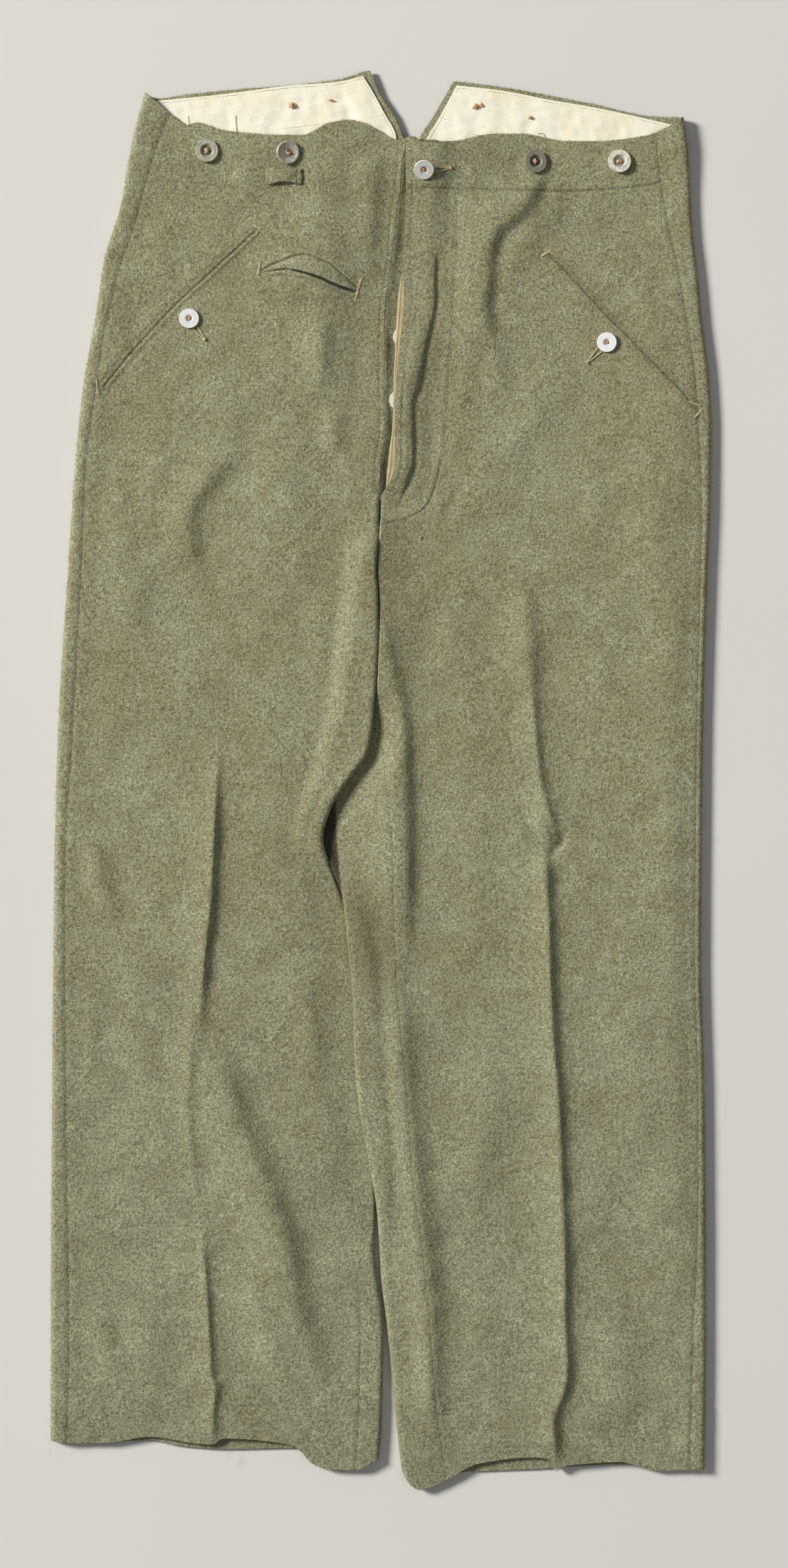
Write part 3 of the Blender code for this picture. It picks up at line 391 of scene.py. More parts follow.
def fold(x, y, high, wl, wr, kind, t0, t1, path):
    """Height added by one fold."""
    z = np.zeros(np.shape(x))
    p = smooth_path(plan(path), 6.0)
    reach = 3.2 * max(wl, wr)
    m = ((x > p[:, 0].min() - reach) & (x < p[:, 0].max() + reach)
         & (y > p[:, 1].min() - reach) & (y < p[:, 1].max() + reach))
    if not m.any():
        return z
    s, t = along(x[m], y[m], p)
    # walking down the plan, the viewer's right is the walker's left
    s = -s if p[-1, 1] < p[0, 1] else s
    w = np.where(s > 0, wr, wl)
    if kind == 1:
        f = np.exp(-(np.sqrt((s / w) ** 2 + 0.02) - 0.1414) * 1.35)
    elif kind == 2:
        f = np.where(s > 0, np.exp(-np.abs(s / wr) ** 3),
                     np.exp(-(s / wl) ** 2))
    else:
        f = np.exp(-(s / w) ** 2)
    fade = ease(t / t0) * ease((1 - t) / t1)
    # no step beyond the ends
    z[m] = high * f * fade
    return z


# --------------------------------------------------------- form of the cloth
class Side:
    """One half of the trousers: a flattened tube, open above the crotch."""

    def __init__(self, name):
        right = name == "right"
        self.name, self.right = name, right
        self.sgn = 1.0 if right else -1.0
        side = RIGHT_SIDE if right else LEFT_SIDE
        self.out, self.seam = Curve(side, 1), Curve(side, 2)
        self.edge = Curve(RIGHT_INNER if right else LEFT_INNER)
        self.crease = Curve(RIGHT_CREASE if right else LEFT_CREASE)
        self.waist = ((Curve(WAIST_FRONT_RIGHT), Curve(WAIST_BACK_RIGHT))
                      if right else
                      (Curve(WAIST_FRONT_LEFT), Curve(WAIST_BACK_LEFT)))
        self.hem = ((Curve(HEM_FRONT_RIGHT), Curve(HEM_BACK_RIGHT))
                    if right else
                    (Curve(HEM_FRONT_LEFT), Curve(HEM_BACK_LEFT)))
        k = 1 if right else 3
        self.lift = Curve(TWIST, k, smooth=False)
        self.height = Curve(TWIST, k + 1, smooth=False)
        self.extra = []          # height functions of the front's own details

    @staticmethod
    def overlap(y):
        d = RIGHT_FOLD(y) - LEFT_FOLD(y)
        return np.where(y > 171, 0.0, np.maximum(0.0, d))

    def row_y(self, x, yn, up):
        foot = mix(388.0, 438.0, (1.0 - up)
                   * ease(1.6 - np.abs(x - 15) / 50.0))
        k = ease((yn - foot) / (STATIONS[0] - foot))
        top = mix(self.waist[1](x), self.waist[0](x), up)
        h = ease((-392.0 - yn) / (-392.0 - STATIONS[-1]))
        low = mix(self.hem[1](x), self.hem[0](x), up)
        return yn + k * (top - STATIONS[0]) + h * (low - STATIONS[-1])

    @staticmethod
    def waist_lift(y):
        return WAIST_LIFT * ease((y - 415.0) / 62.0)

    def over(self, x, y):
        z = TOP + 1.9 * ease((y - 415.0) / 55.0)
        soft = np.zeros(np.shape(x))
        for f in FOLDS[self.name]:
            soft = soft + FOLD_GAIN * fold(x, y, *f)
        soft = soft + 0.34 * waves(x, y, 62, 5) + 0.13 * waves(x, y, 25, 6)
        # folds die out before the rolled edges and the stacked fly
        calm = ease((np.abs(x - self.out(y)) - 2.0) / 14.0)
        z = z + soft * calm
        if not self.right:
            fall = FALL(y)
            stack = ease((y - 196.0) / 26.0) * (FLY_TOP - (z - soft * calm))
            z = z + np.maximum(0.0, stack) * (
                1 - ease((x - fall + 7.0) / 21.0))
        d = np.abs(x - self.out(y))
        z = mix(EDGE + self.waist_lift(y), z, ease((d - EDGE / 2) / 22.0))
        leg = ease((199.0 - y) / 14.0)
        d = (self.edge(y) - x) * self.sgn
        lift, high = self.lift(y), self.height(y)
        hold = high / 2 + np.where((lift < 0.5) & (self.overlap(y) > 0),
                                   self.overlap(y) + 2.0, 0.0)
        near = mix(lift + high, z, ease((d - hold) / 26.0))
        if not self.right:
            # high up the leg the cloth lies close against the other leg
            past = d - self.overlap(y)
            snug = ease((y - 30.0) / 45.0) * ease((199.0 - y) / 5.0)
            full = z + np.maximum(0.0, 9.3 - z) * np.exp(
                -np.maximum(past, 0.0) / 15.0)
            near = mix(near, mix(lift + high, full, ease((past + 1.2) / 2.0)),
                       snug)
        z = np.where(leg > 0, mix(z, near, leg), z)
        low = self.under(x, y) + 2 * WOOL + 1.7
        z = np.where((leg > 0) & (lift > 0), np.maximum(z, low), z)
        low = self.under(x, y) + 2 * WOOL + 0.5 + 1.1 * ease((y - 436) / 8.0)
        z = np.maximum(z, low)
        for f in self.extra:
            z = z + f(x, y)
        return z

    def under(self, x, y):
        z = self.waist_lift(y)
        lift = self.lift(y)
        d = (self.edge(y) - x) * self.sgn
        shelf = self.height(y) / 2 + self.overlap(y) + 3.0
        z = z + lift * (1.0 - ease((d - shelf) / 20.0))
        return z

    # arc lengths round a section
    def flat_p(self, x, yn, outer):
        """Distance of x on the flat from the apex of a roll."""
        x0 = self.out(yn) if outer else self.edge(yn)
        way = self.sgn if outer else -self.sgn
        r = (EDGE if outer else self.height(yn)) / 2
        return np.maximum((x - x0) * way, r) - r + r * math.pi / 2

    def length(self, yn):
        """Arc from the outer apex over a flat face to the inner apex."""
        ro, ri = EDGE / 2, self.height(yn) / 2
        w = np.abs(self.edge(yn) - self.out(yn))
        return (ro + ri) * (math.pi / 2 - 1) + w

    def at(self, arc, yn, face):
        """Points at an arc from the outer apex: face is +1 where the arc
        runs over the front, -1 where it runs along the underside."""
        arc, yn = np.broadcast_arrays(np.asarray(arc, float),
                                      np.asarray(yn, float))
        ro, ri = EDGE / 2, self.height(yn) / 2
        qo, qi = ro * math.pi / 2, ri * math.pi / 2
        back = self.length(yn) - arc            # from the inner apex
        inner = back < qi
        r = np.where(inner, ri, ro)
        q = np.where(inner, qi, qo)
        p = np.where(inner, back, arc)
        roll = np.abs(p) < q
        a = np.clip(p / r, -math.pi / 2, math.pi / 2)
        d = np.where(roll, r * (1 - np.cos(a)), r + np.abs(p) - q)
        rise = np.where(roll, np.sin(a), np.sign(p)) * face
        x0 = np.where(inner, self.edge(yn), self.out(yn))
        way = np.where(inner, -self.sgn, self.sgn)
        x = x0 + way * d
        up = 0.5 + 0.5 * rise
        y = self.row_y(x, yn, up)
        t = np.clip((x - self.edge(yn)) / (self.out(yn) - self.edge(yn)), 0, 1)
        flat = x
        for _ in range(3):
            x = flat + mix(self.edge(y) - self.edge(yn),
                           self.out(y) - self.out(yn), t)
            y = self.row_y(x, yn, up)
        x0y = np.where(inner, self.edge(y), self.out(y))
        xr = np.where(roll, x0y + way * r, x)
        lo, hi = self.under(xr, y), self.over(xr, y)
        z = np.where(rise >= 1, hi, np.where(
            rise <= -1, lo, (lo + hi) / 2 + (hi - lo) / 2 * rise))
        return x, y, z


RIGHT_FOLD, LEFT_FOLD = Curve(RIGHT_INNER), Curve(LEFT_INNER)
BOUND, FALL = Curve(LEFT_BOUND), Curve(FLY_FALL)
FLY_CUT = Curve(FLY_EDGE)
TURN = Curve(RIGHT_TURN, smooth=False)
OPEN_EDGE = Curve(FLY_LINE)
NOTCH_R, NOTCH_L = Curve(V_RIGHT, smooth=False), Curve(V_LEFT, smooth=False)
right, left = Side("right"), Side("left")


def spread(n, a=0.6, b=0.6):
    """n steps from 0 to 1, closer together at the start (a) and end (b)."""
    t = np.linspace(0.0, 1.0, n + 1)
    w = 1.0 / (0.2 + 1.0 - a * np.exp(-t * 7) - b * np.exp(-(1 - t) * 7))
    c = np.concatenate([[0], np.cumsum(1.0 / ((w[1:] + w[:-1]) / 2))])
    return c / c[-1]


def rows_y(step):
    n = int((STATIONS[0] - STATIONS[-1]) / step)
    t = spread(n, 0.8, 0.8)
    return mix(STATIONS[0], STATIONS[-1], t)


def key_arcs(keys, counts, clusters):
    """Columns between key lines, each line an array over the rows."""
    cols = []
    for k, (n, (a, b)) in enumerate(zip(counts, clusters)):
        f = spread(n, a, b)
        for t in f[:-1]:
            cols.append(mix(keys[k], keys[k + 1], t))
    cols.append(keys[-1])
    return np.array(cols).T          # rows x columns


def by_station(function, yn, smooth=False):
    """A seam's place as worked out at the stations, straight between."""
    v = [function(s) for s in STATIONS]
    return Curve(list(zip(STATIONS, v)), smooth=smooth)(yn)


def front_right_arcs(yn):
    s = right
    qi = s.height(yn) / 2 * math.pi / 2

    def end(y):
        q = float(s.height(y)) / 2 * math.pi / 2
        t = float(TURN(y))
        return t + (GAP / 2 if abs(t) > q else GAP)
    start = by_station(lambda y: float(s.flat_p(s.seam(y), y, True)), yn)
    turn = by_station(end, yn)
    # the open edge above the crotch, in by d from the apex of the roll
    r = s.height(yn) / 2
    d = np.maximum(s.edge(yn) - OPEN_EDGE(yn), 0.02)
    flat = np.where(d > r, d - r + qi, r * np.arccos(np.clip(
        1 - d / r, -1, 1)))
    turn = np.where(yn > 199, flat, turn)
    k1 = s.flat_p(s.crease(yn), yn, True)
    k2 = s.length(yn) - np.maximum(qi + 14.0, turn + 10.0)
    return key_arcs([start + GAP / 2, k1, k2, s.length(yn) - turn],
                    (36, 34, 22), ((.8, .8), (.8, .3), (.0, .5)))


def front_left_arcs(yn):
    s = left
    start = by_station(lambda y: float(s.flat_p(s.seam(y), y, True)), yn)
    k1 = s.flat_p(s.crease(yn), yn, True)
    cut = np.where(yn > 185.5, FLY_CUT(yn), BOUND(yn) + GAP * 0.8)
    b = s.flat_p(cut, yn, True)
    f = s.flat_p(np.maximum(FALL(yn), cut + 9.0) + 4.0, yn, True)
    return key_arcs([start + GAP / 2, k1, f, b], (36, 30, 22),
                    ((.8, .8), (.8, .3), (.3, .7)))


def back_arcs(s, yn):
    q = EDGE / 2 * math.pi / 2

    def end(y):
        """Arc from the inner apex, - before it, + beyond it."""
        v = 0.0
        for _ in range(8):
            v = float((NOTCH_R if s.right else NOTCH_L)(
                s.row_y(np.float64(v), y, 0.0)))
        ri = float(s.height(y)) / 2
        qi = ri * math.pi / 2
        if s.right and y <= CROTCH_Y + 3:
            t = float(TURN(y))
        elif not s.right and y <= CROTCH_Y + 1:
            t = float(s.flat_p(BOUND(y), y, False))
        else:
            x = v - s.sgn * GAP / 2
            d = (x - float(s.edge(y))) * -s.sgn
            return -(d - ri + qi)
        return t - (GAP / 2 if abs(t) > qi else GAP)
    seam = by_station(lambda y: float(s.flat_p(s.seam(y), y, True)), yn)
    e = np.where(yn > 200, [end(t) for t in yn], by_station(end, yn))
    if not s.right:
        e = np.where(yn <= CROTCH_Y,
                     s.flat_p(BOUND(yn), yn, False) - GAP * 0.3, e)
    stop = s.length(yn) + e
    k3 = np.minimum(stop - 6.0, s.length(yn) - s.height(yn) - 4.0)
    zero = np.zeros_like(yn)
    return key_arcs([-(seam - GAP / 2), zero - q, zero + q, k3, stop],
                    (8, 8, 44, 16),
                    ((.7, 0), (0, 0), (.5, .5), (.2, .4)))


# ----------------------------------------------------------- mesh of a panel
def to_object(name, verts, faces, material=None, smooth=True, angle=45):
    me = bpy.data.meshes.new(name)
    me.from_pydata([tuple(v) for v in verts], [], [tuple(f) for f in faces])
    me.update()
    if smooth:
        me.shade_smooth()
        me.set_sharp_from_angle(angle=math.radians(angle))
    ob = bpy.data.objects.new(name, me)
    bpy.context.scene.collection.objects.link(ob)
    if material:
        me.materials.append(material)
    return ob


def metres(x, y, z):
    return np.stack([np.asarray(x), np.asarray(y) - MID_Y, np.asarray(z)],
                    -1) * MM


def grid_mesh(arcs, yn, passes=(), place=None, slits=(), sgn=1.0):
    """A flat working mesh over (arc, row), cut finer near some paths in
    passes of (paths, reach, cuts) and open along slits (path, width).
    Returns arc, row of every vertex and the faces."""
    rows, cols = arcs.shape
    bm = bmesh.new()
    vs = [[bm.verts.new((arcs[j, i], yn[j], 0.0)) for i in range(cols)]
          for j in range(rows)]
    for j in range(rows - 1):
        for i in range(cols - 1):
            bm.faces.new((vs[j][i], vs[j][i + 1], vs[j + 1][i + 1],
                          vs[j + 1][i]))
    for paths, reach, cuts in passes:
        if not len(paths):
            continue
        bm.faces.ensure_lookup_table()
        c = np.array([f.calc_center_median()[:2] for f in bm.faces])
        x, y, _ = place(c[:, 0], c[:, 1])
        near = np.zeros(len(c), bool)
        for p in paths:
            m = boxed(x, y, p, reach)
            if m.any():
                d, _ = along(x[m], y[m], p)
                near[np.flatnonzero(m)[np.abs(d) < reach]] = True
        edges = {e for k in np.flatnonzero(near) for e in bm.faces[k].edges}
        bmesh.ops.subdivide_edges(bm, edges=list(edges), cuts=cuts,
                                  use_grid_fill=True)
        bmesh.ops.triangulate(bm, faces=[f for f in bm.faces
                                         if len(f.verts) > 4])
    for path, wide in slits:
        open_slit(bm, path, wide, place, sgn)
    bm.verts.index_update()
    p = np.array([v.co[:2] for v in bm.verts])
    faces = [[v.index for v in f.verts] for f in bm.faces]
    bm.free()
    return p[:, 0], p[:, 1], faces


def open_slit(bm, path, wide, place, sgn):
    """Take out the faces along a path and draw the lips to a thin lens."""
    faces = list(bm.faces)
    c = np.array([f.calc_center_median()[:2] for f in faces])
    x, y, _ = place(c[:, 0], c[:, 1])
    m = boxed(x, y, path, 4.0)
    s, t = along(x[m], y[m], path)
    out = np.flatnonzero(m)[(np.abs(s) < 0.55) & (t > 0.012) & (t < 0.988)]
    bmesh.ops.delete(bm, geom=[faces[i] for i in out], context="FACES")
    lips = [v for v in bm.verts if v.is_boundary]
    c = np.array([v.co[:2] for v in lips])
    x, y, _ = place(c[:, 0], c[:, 1])
    m = np.flatnonzero(boxed(x, y, path, 3.0))
    s, t = along(x[m], y[m], path)
    d = np.gradient(path, axis=0)
    d = d / np.hypot(*d.T)[:, None]
    n = np.hypot(*np.diff(path, axis=0).T)
    at = np.concatenate([[0.0], np.cumsum(n)]) / n.sum()
    for i, si, ti in zip(m, s, t):
        if abs(si) > 1.7 or not 0.0 < ti < 1.0:
            continue
        cx, cy = np.interp(ti, at, path[:, 0]), np.interp(ti, at, path[:, 1])
        dx, dy = np.interp(ti, at, d[:, 0]), np.interp(ti, at, d[:, 1])
        half = max(0.10, wide / 2 * math.sin(math.pi * ti) ** 0.6)
        k = half if si > 0 else -half
        # the walker's right is (dy, -dx)
        v = lips[i].co
        v.x += (cx + dy * k - x[i]) * sgn
        v.y += cy - dx * k - y[i]


def wall(name, outer, faces, thick, material, bulge=0.25, dent=None):
    """A closed cloth wall: the outer skin, an inner skin and a rounded rim.
    outer is in metres, thick in mm (a number or one for each vertex), dent
    pushes the wall in (mm)."""
    me = bpy.data.meshes.new("skin")
    me.from_pydata([tuple(v) for v in outer], [], faces)
    me.update()
    n = np.zeros(len(outer) * 3)
    me.vertices.foreach_get("normal", n)
    n = n.reshape(-1, 3)
    if dent is not None:
        outer = outer - n * (dent[:, None] * MM)
    bm = bmesh.new()
    bm.from_mesh(me)
    ring = {}
    for e in bm.edges:
        if e.is_boundary:
            f = e.link_faces[0]
            a, b = e.verts
            for lo in f.loops:
                if lo.vert is a and lo.link_loop_next.vert is b:
                    ring[a.index] = b.index
                    break
            else:
                ring[b.index] = a.index
    bm.free()
    bpy.data.meshes.remove(me)
    thick = np.broadcast_to(np.asarray(thick, float), (len(outer),))
    inner = outer - n * (thick[:, None] * MM)
    k = len(outer)
    verts = [outer, inner]
    out = [list(f) for f in faces] + [[i + k for i in reversed(f)]
                                      for f in faces]
    # rim: one more row of points, pushed out a little, makes it round
    mids, ids = [], {}
    prev = {b: a for a, b in ring.items()}
    for a in ring:
        nxt, prv = ring[a], prev.get(a, a)
        t = outer[nxt] - outer[prv]
        side = np.cross(t, n[a])
        ln = np.linalg.norm(side)
        side = side / ln if ln > 1e-12 else side
        ids[a] = 2 * k + len(mids)
        mids.append((outer[a] + inner[a]) / 2 + side * (bulge * MM))
    for a, b in ring.items():
        out.append([b, a, ids[a], ids[b]])
        out.append([ids[b], ids[a], a + k, b + k])
    verts.append(np.array(mids))
    return to_object(name, np.vstack(verts), out, material, angle=60)


PANEL_STEP = 2.9


def side_at(s, face):
    return lambda arc, yn: s.at(arc, yn, face)


# ------------------------------------------------- details drawn on the cloth
def bell(s, centre, width):
    return np.exp(-((s - centre) / width) ** 2)


def line(points, step=3.0):
    return smooth_path(plan(points), step)


def plan_rows(points):
    return [(y, x) for x, y in plan(points)]


def boxed(x, y, p, reach):
    return ((x > p[:, 0].min() - reach) & (x < p[:, 0].max() + reach)
            & (y > p[:, 1].min() - reach) & (y < p[:, 1].max() + reach))


def across(points, shape, ends=6.0, reach=9.0):
    """A height function: shape(s) over the distance s from a line, + on its
    right seen from above, faded at its ends."""
    p = line(points)
    run = np.hypot(*np.diff(p, axis=0).T).sum()
    turn = -1.0 if p[-1, 1] < p[0, 1] else 1.0

    def f(x, y):
        z = np.zeros(np.shape(x))
        m = boxed(x, y, p, reach)
        if m.any():
            s, t = along(x[m], y[m], p)
            z[m] = shape(s * turn) * ease(t * run / ends) * ease(
                (1 - t) * run / ends)
        return z
    return f


def groove(points, depth, width, ends=6.0):
    return across(points, lambda s: -depth * bell(s, 0, width), ends,
                  4 * width + 2)


# Lines of the details, in plan units.
SLASH = {
    "right": ((414, 363), (348, 424), (283, 484), (247, 522), (206, 567),
              (162, 622)),
    "left": ((874, 406), (900, 428), (961, 495), (1007, 541), (1050, 586),
             (1087, 623), (1104, 645)),
}
SEAM_UP = ((412, 433), (420, 429), (439, 420), (455, 414), (470, 408),
           (486, 406), (499, 409), (513, 415), (526, 420), (542, 433),
           (558, 447), (574, 462))
SEAM_LOW = ((412, 434), (440, 430), (455, 428), (470, 431), (489, 435),
            (509, 442), (529, 451), (545, 458), (561, 463), (576, 465))
ROW_LOW = ((424, 438), (455, 440), (475, 442), (500, 449), (525, 459),
           (548, 469), (566, 475))
J_LINE = ((730, 306), (728, 360), (726, 412), (722, 492), (716, 588),
          (710, 687), (704, 732), (697, 765), (688, 793), (674, 813),
          (645, 828), (612, 834))
J_FOLD = ((699, 400), (698, 425), (697, 455), (698, 470), (697, 485),
          (694, 505), (688, 530), (681, 560), (676, 590), (669, 620),
          (662, 638), (661, 665), (662, 690), (663, 720), (661, 745),
          (652, 770), (643, 792), (634, 815))
FACING_ROW = ((652, 301), (730, 301), (800, 303), (886, 305), (960, 303),
              (1030, 296), (1080, 282))
FACING_FAINT = ((232, 288), (300, 291), (372, 296), (440, 302))
FLY_ROW = ((658, 236), (658, 326), (654, 400), (657, 470), (651, 540),
           (643, 620), (641, 690), (640, 745), (628, 782))
EDGE_ROW = ((635, 240), (632, 293), (623, 350), (618, 414), (611, 461),
            (606, 495), (605, 533), (605, 610), (606, 656), (605, 700),
            (599, 735), (597, 790))
WATCH_SLIT = ((467, 430.5), (480, 433.2), (497, 438.4), (514, 444.2),
              (527, 450.4), (544, 457.4), (562, 463))
WATCH_DEEP = ((496, 438), (514, 444.4), (527, 450.6), (544, 457.6),
              (556, 461.5))
U_UP, U_LOW = Curve(SEAM_UP), Curve(SEAM_LOW)


def slash(points, up):
    """Pressed welts each side of a pocket's mouth and the two stitched rows;
    up is + or - for the side that stands a little prouder."""
    def shape(s):
        return (-0.5 * bell(s, 0, 0.75) + 0.2 * bell(s, -1.9, 1.0)
                + 0.3 * bell(s, 2.1, 1.4) - 0.3 * bell(s, -3.3, 0.7)
                - 0.35 * bell(s, 4.2, 0.7) + 0.3 * bell(s * up, 6.2, 2.8))
    return across(points, shape, 5.0, 13.0)


def watch_pocket(x, y):
    """The flat pouch, its sewn upper edge and the lip over its mouth."""
    u, v = x / UNIT + 608.0, 1242.5 - y / UNIT
    z = np.zeros(np.shape(x))
    m = (u > 405) & (u < 583) & (v > 390) & (v < 500)
    if m.any():
        um, vm = u[m], v[m]
        up = U_UP(um)
        gap = (U_LOW(um) - up) * UNIT
        d = (vm - up) * UNIT
        ends = ease((um - 412) / 14.0) * ease((578 - um) / 12.0)
        mouth = ease((um - 464) / 28.0) * ease((572 - um) / 10.0)
        t = np.clip(d / np.maximum(gap, 0.3), 0, 1)
        body = 2.2 * ease(gap / 9.0) * np.sin(t * math.pi * 0.60) ** 1.1
        past = np.maximum(d - gap, 0.0)
        body = body * np.where(d > gap, np.exp(-(past / 0.45) ** 2), 1.0)
        slot = -(0.1 + 1.5 * mouth) * bell(past, 0.9, 0.55)
        slot = np.where(d > gap - 0.3, slot, 0.0)
        welt = 0.55 * bell(past, 3.0, 1.3) - 0.3 * np.where(
            d > gap, np.exp(-past / 5.0), 0.0)
        z[m] = ends * (body + slot + welt - 0.55 * bell(d, 0.1, 0.55)
                       + 0.3 * bell(d, -1.7, 1.2))
    return z


def hem_step(s):
    def f(x, y):
        foot = s.hem[0](x) + 47.0
        return 0.45 * ease((foot - y) / 2.2) - 0.3 * bell(y, foot, 1.6)
    return f


right.extra = [
    slash(SLASH["right"], -1.0), watch_pocket,
    groove(ROW_LOW, 0.45, 0.7), groove(FACING_FAINT, 0.3, 0.9),
    groove(EDGE_ROW, 0.3, 0.8), hem_step(right)]
left.extra = [
    slash(SLASH["left"], 1.0), groove(J_LINE, 0.12, 0.9, 4.0),
    groove(J_LINE[6:], 0.3, 0.9, 8.0),
    groove(FACING_ROW, 0.6, 0.9), groove(FLY_ROW, 0.35, 0.8),
    across(J_LINE, lambda s: 0.18 * bell(s, -2.6, 1.8)), hem_step(left)]


# ----------------------------------------------------------------- materials
def tint(r, g, b):
    """Screen colour (0 to 255) as linear light."""
    return tuple((c / 12.92 if c <= 0.04045 else ((c + 0.055) / 1.055) ** 2.4)
                 for c in (r / 255, g / 255, b / 255)) + (1.0,)


class Paint:
    """One surface: its colour, roughness and fine relief."""

    def __init__(self, name):
        self.mat = bpy.data.materials.new(name)
        self.mat.use_nodes = True
        self.tree = self.mat.node_tree
        self.bsdf = self.tree.nodes["Principled BSDF"]
        self.pos = self.add("ShaderNodeTexCoord").outputs["Object"]

    def add(self, kind, **values):
        n = self.tree.nodes.new(kind)
        for k, v in values.items():
            setattr(n, k, v)
        return n

    def link(self, a, b):
        self.tree.links.new(a, b)

    def put(self, socket, value):
        if isinstance(value, bpy.types.NodeSocket):
            self.link(value, socket)
        else:
            socket.default_value = value

    def scaled(self, sx, sy, sz, turn=0.0):
        n = self.add("ShaderNodeMapping")
        self.link(self.pos, n.inputs["Vector"])
        n.inputs["Scale"].default_value = (sx, sy, sz)
        n.inputs["Rotation"].default_value = (0, 0, turn)
        return n.outputs["Vector"]

    def noise(self, scale, detail=2.0, rough=0.5, vector=None, warp=0.0):
        n = self.add("ShaderNodeTexNoise")
        self.link(vector or self.pos, n.inputs["Vector"])
        n.inputs["Scale"].default_value = scale
        n.inputs["Detail"].default_value = detail
        n.inputs["Roughness"].default_value = rough
        n.inputs["Distortion"].default_value = warp
        return n.outputs["Fac"]

    def span(self, value, a, b, lo=0.0, hi=1.0, soft=True):
        """value from a..b to lo..hi, clamped."""
        n = self.add("ShaderNodeMapRange")
        n.interpolation_type = "SMOOTHSTEP" if soft else "LINEAR"
        self.put(n.inputs["Value"], value)
        for key, v in (("From Min", a), ("From Max", b), ("To Min", lo),
                       ("To Max", hi)):
            n.inputs[key].default_value = v
        return n.outputs["Result"]

    def math(self, op, a, b=None, c=None):
        n = self.add("ShaderNodeMath", operation=op)
        self.put(n.inputs[0], a)
        if b is not None:
            self.put(n.inputs[1], b)
        if c is not None:
            self.put(n.inputs[2], c)
        return n.outputs[0]

    def blend(self, fac, a, b, mode="MIX"):
        n = self.add("ShaderNodeMix", data_type="RGBA", blend_type=mode)
        n.clamp_factor = True
        self.put(n.inputs[0], fac)
        self.put(n.inputs[6], a)
        self.put(n.inputs[7], b)
        return n.outputs[2]

    def grey(self, value):
        n = self.add("ShaderNodeCombineColor")
        for i in range(3):
            self.put(n.inputs[i], value)
        return n.outputs[0]

    def mark(self, name):
        """A float that the mesh carries at its points."""
        return self.add("ShaderNodeAttribute", attribute_name=name,
                        attribute_type="GEOMETRY").outputs["Fac"]

    def bump(self, height, distance, strength=1.0, after=None):
        n = self.add("ShaderNodeBump")
        n.inputs["Strength"].default_value = strength
        n.inputs["Distance"].default_value = distance
        self.link(height, n.inputs["Height"])
        if after is not None:
            self.link(after, n.inputs["Normal"])
        return n.outputs["Normal"]

    def finish(self, colour, rough=0.9, metal=0.0, normal=None, sheen=0.0,
               sheen_rough=0.5, sheen_tint=(1, 1, 1, 1), specular=0.3):
        s = self.bsdf.inputs
        self.put(s["Base Color"], colour)
        self.put(s["Roughness"], rough)
        s["Metallic"].default_value = metal
        s["Sheen Weight"].default_value = sheen
        s["Sheen Roughness"].default_value = sheen_rough
        s["Sheen Tint"].default_value = sheen_tint
        s["Specular IOR Level"].default_value = specular
        if normal is not None:
            self.link(normal, s["Normal"])
        return self.mat


def wool_material(name, shade=1.0):
    """Fulled wool in mottled field grey: blue-grey and olive fibres."""
    p = Paint(name)
    drift = p.noise(13.0, 2.0, 0.5)
    cloud = p.noise(60.0, 2.0, 0.5, warp=0.3)
    fleck = p.noise(185.0, 2.0, 0.6, warp=0.2)
    tuft = p.noise(490.0, 2.0, 0.6, warp=0.15)
    hair = p.noise(1250.0, 2.0, 0.6)
    hue = p.math("ADD", p.math("MULTIPLY", fleck, 0.50),
                 p.math("ADD", p.math("MULTIPLY", tuft, 0.42),
                        p.math("ADD", p.math("MULTIPLY", cloud, 0.34),
                               p.math("MULTIPLY", drift, 0.28))))
    hue = p.math("SUBTRACT", hue, p.math("MULTIPLY", p.mark("brown"), 0.10))
    # greyer towards the hems
    split = p.add("ShaderNodeSeparateXYZ")
    p.link(p.pos, split.inputs[0])
    low = p.span(split.outputs["Y"], 0.10, -0.42)
    hue = p.math("ADD", hue, p.math("MULTIPLY", low, 0.10))
    base = p.blend(p.span(hue, 0.65, 0.90), tint(154, 148, 113),
                   tint(147, 148, 120))
    # fibre by fibre: dark roots and pale tips
    base = p.blend(p.math("MULTIPLY", p.span(hair, 0.55, 0.72), 0.48), base,
                   tint(194, 190, 162))
    base = p.blend(p.math("MULTIPLY", p.span(hair, 0.47, 0.32), 0.44), base,
                   tint(87, 88, 67))
    base = p.blend(p.math("MULTIPLY", p.span(tuft, 0.48, 0.34), 0.34), base,
                   tint(92, 92, 69))
    base = p.blend(p.math("MULTIPLY", p.span(tuft, 0.54, 0.68), 0.26), base,
                   tint(182, 178, 149))
    base = p.blend(p.math("MULTIPLY", p.mark("brown"), 0.55), base,
                   tint(120, 115, 86))
    light = p.math("MULTIPLY", p.span(p.math("ADD", drift, p.math(
        "MULTIPLY", cloud, 0.8)), 0.70, 1.10, 0.945, 1.055, soft=False),
        shade)
    # the "dark" mark: dark seam and stitch lines, and painted shade in recesses, pocket openings, under edges
    # and along fold flanks
    light = p.math("MULTIPLY", light, p.math("SUBTRACT", 1.0, p.mark("dark")))
    for layer, much in ((hair, 1.40), (tuft, 0.95), (fleck, 0.36),
                        (cloud, 0.30)):
        light = p.math("MULTIPLY", light, p.math("ADD", p.math(
            "MULTIPLY", layer, much), 1.0 - much / 2))
    base = p.blend(1.0, base, p.grey(light), mode="MULTIPLY")
    nap = p.math("ADD", p.math("MULTIPLY", hair, 0.7),
                 p.math("ADD", p.math("MULTIPLY", tuft, 1.0),
                        p.math("MULTIPLY", fleck, 0.7)))
    normal = p.bump(nap, 0.00062, 0.9)
    return p.finish(base, 0.95, normal=normal, sheen=0.16, sheen_rough=0.55,
                    sheen_tint=tint(196, 194, 168), specular=0.16)


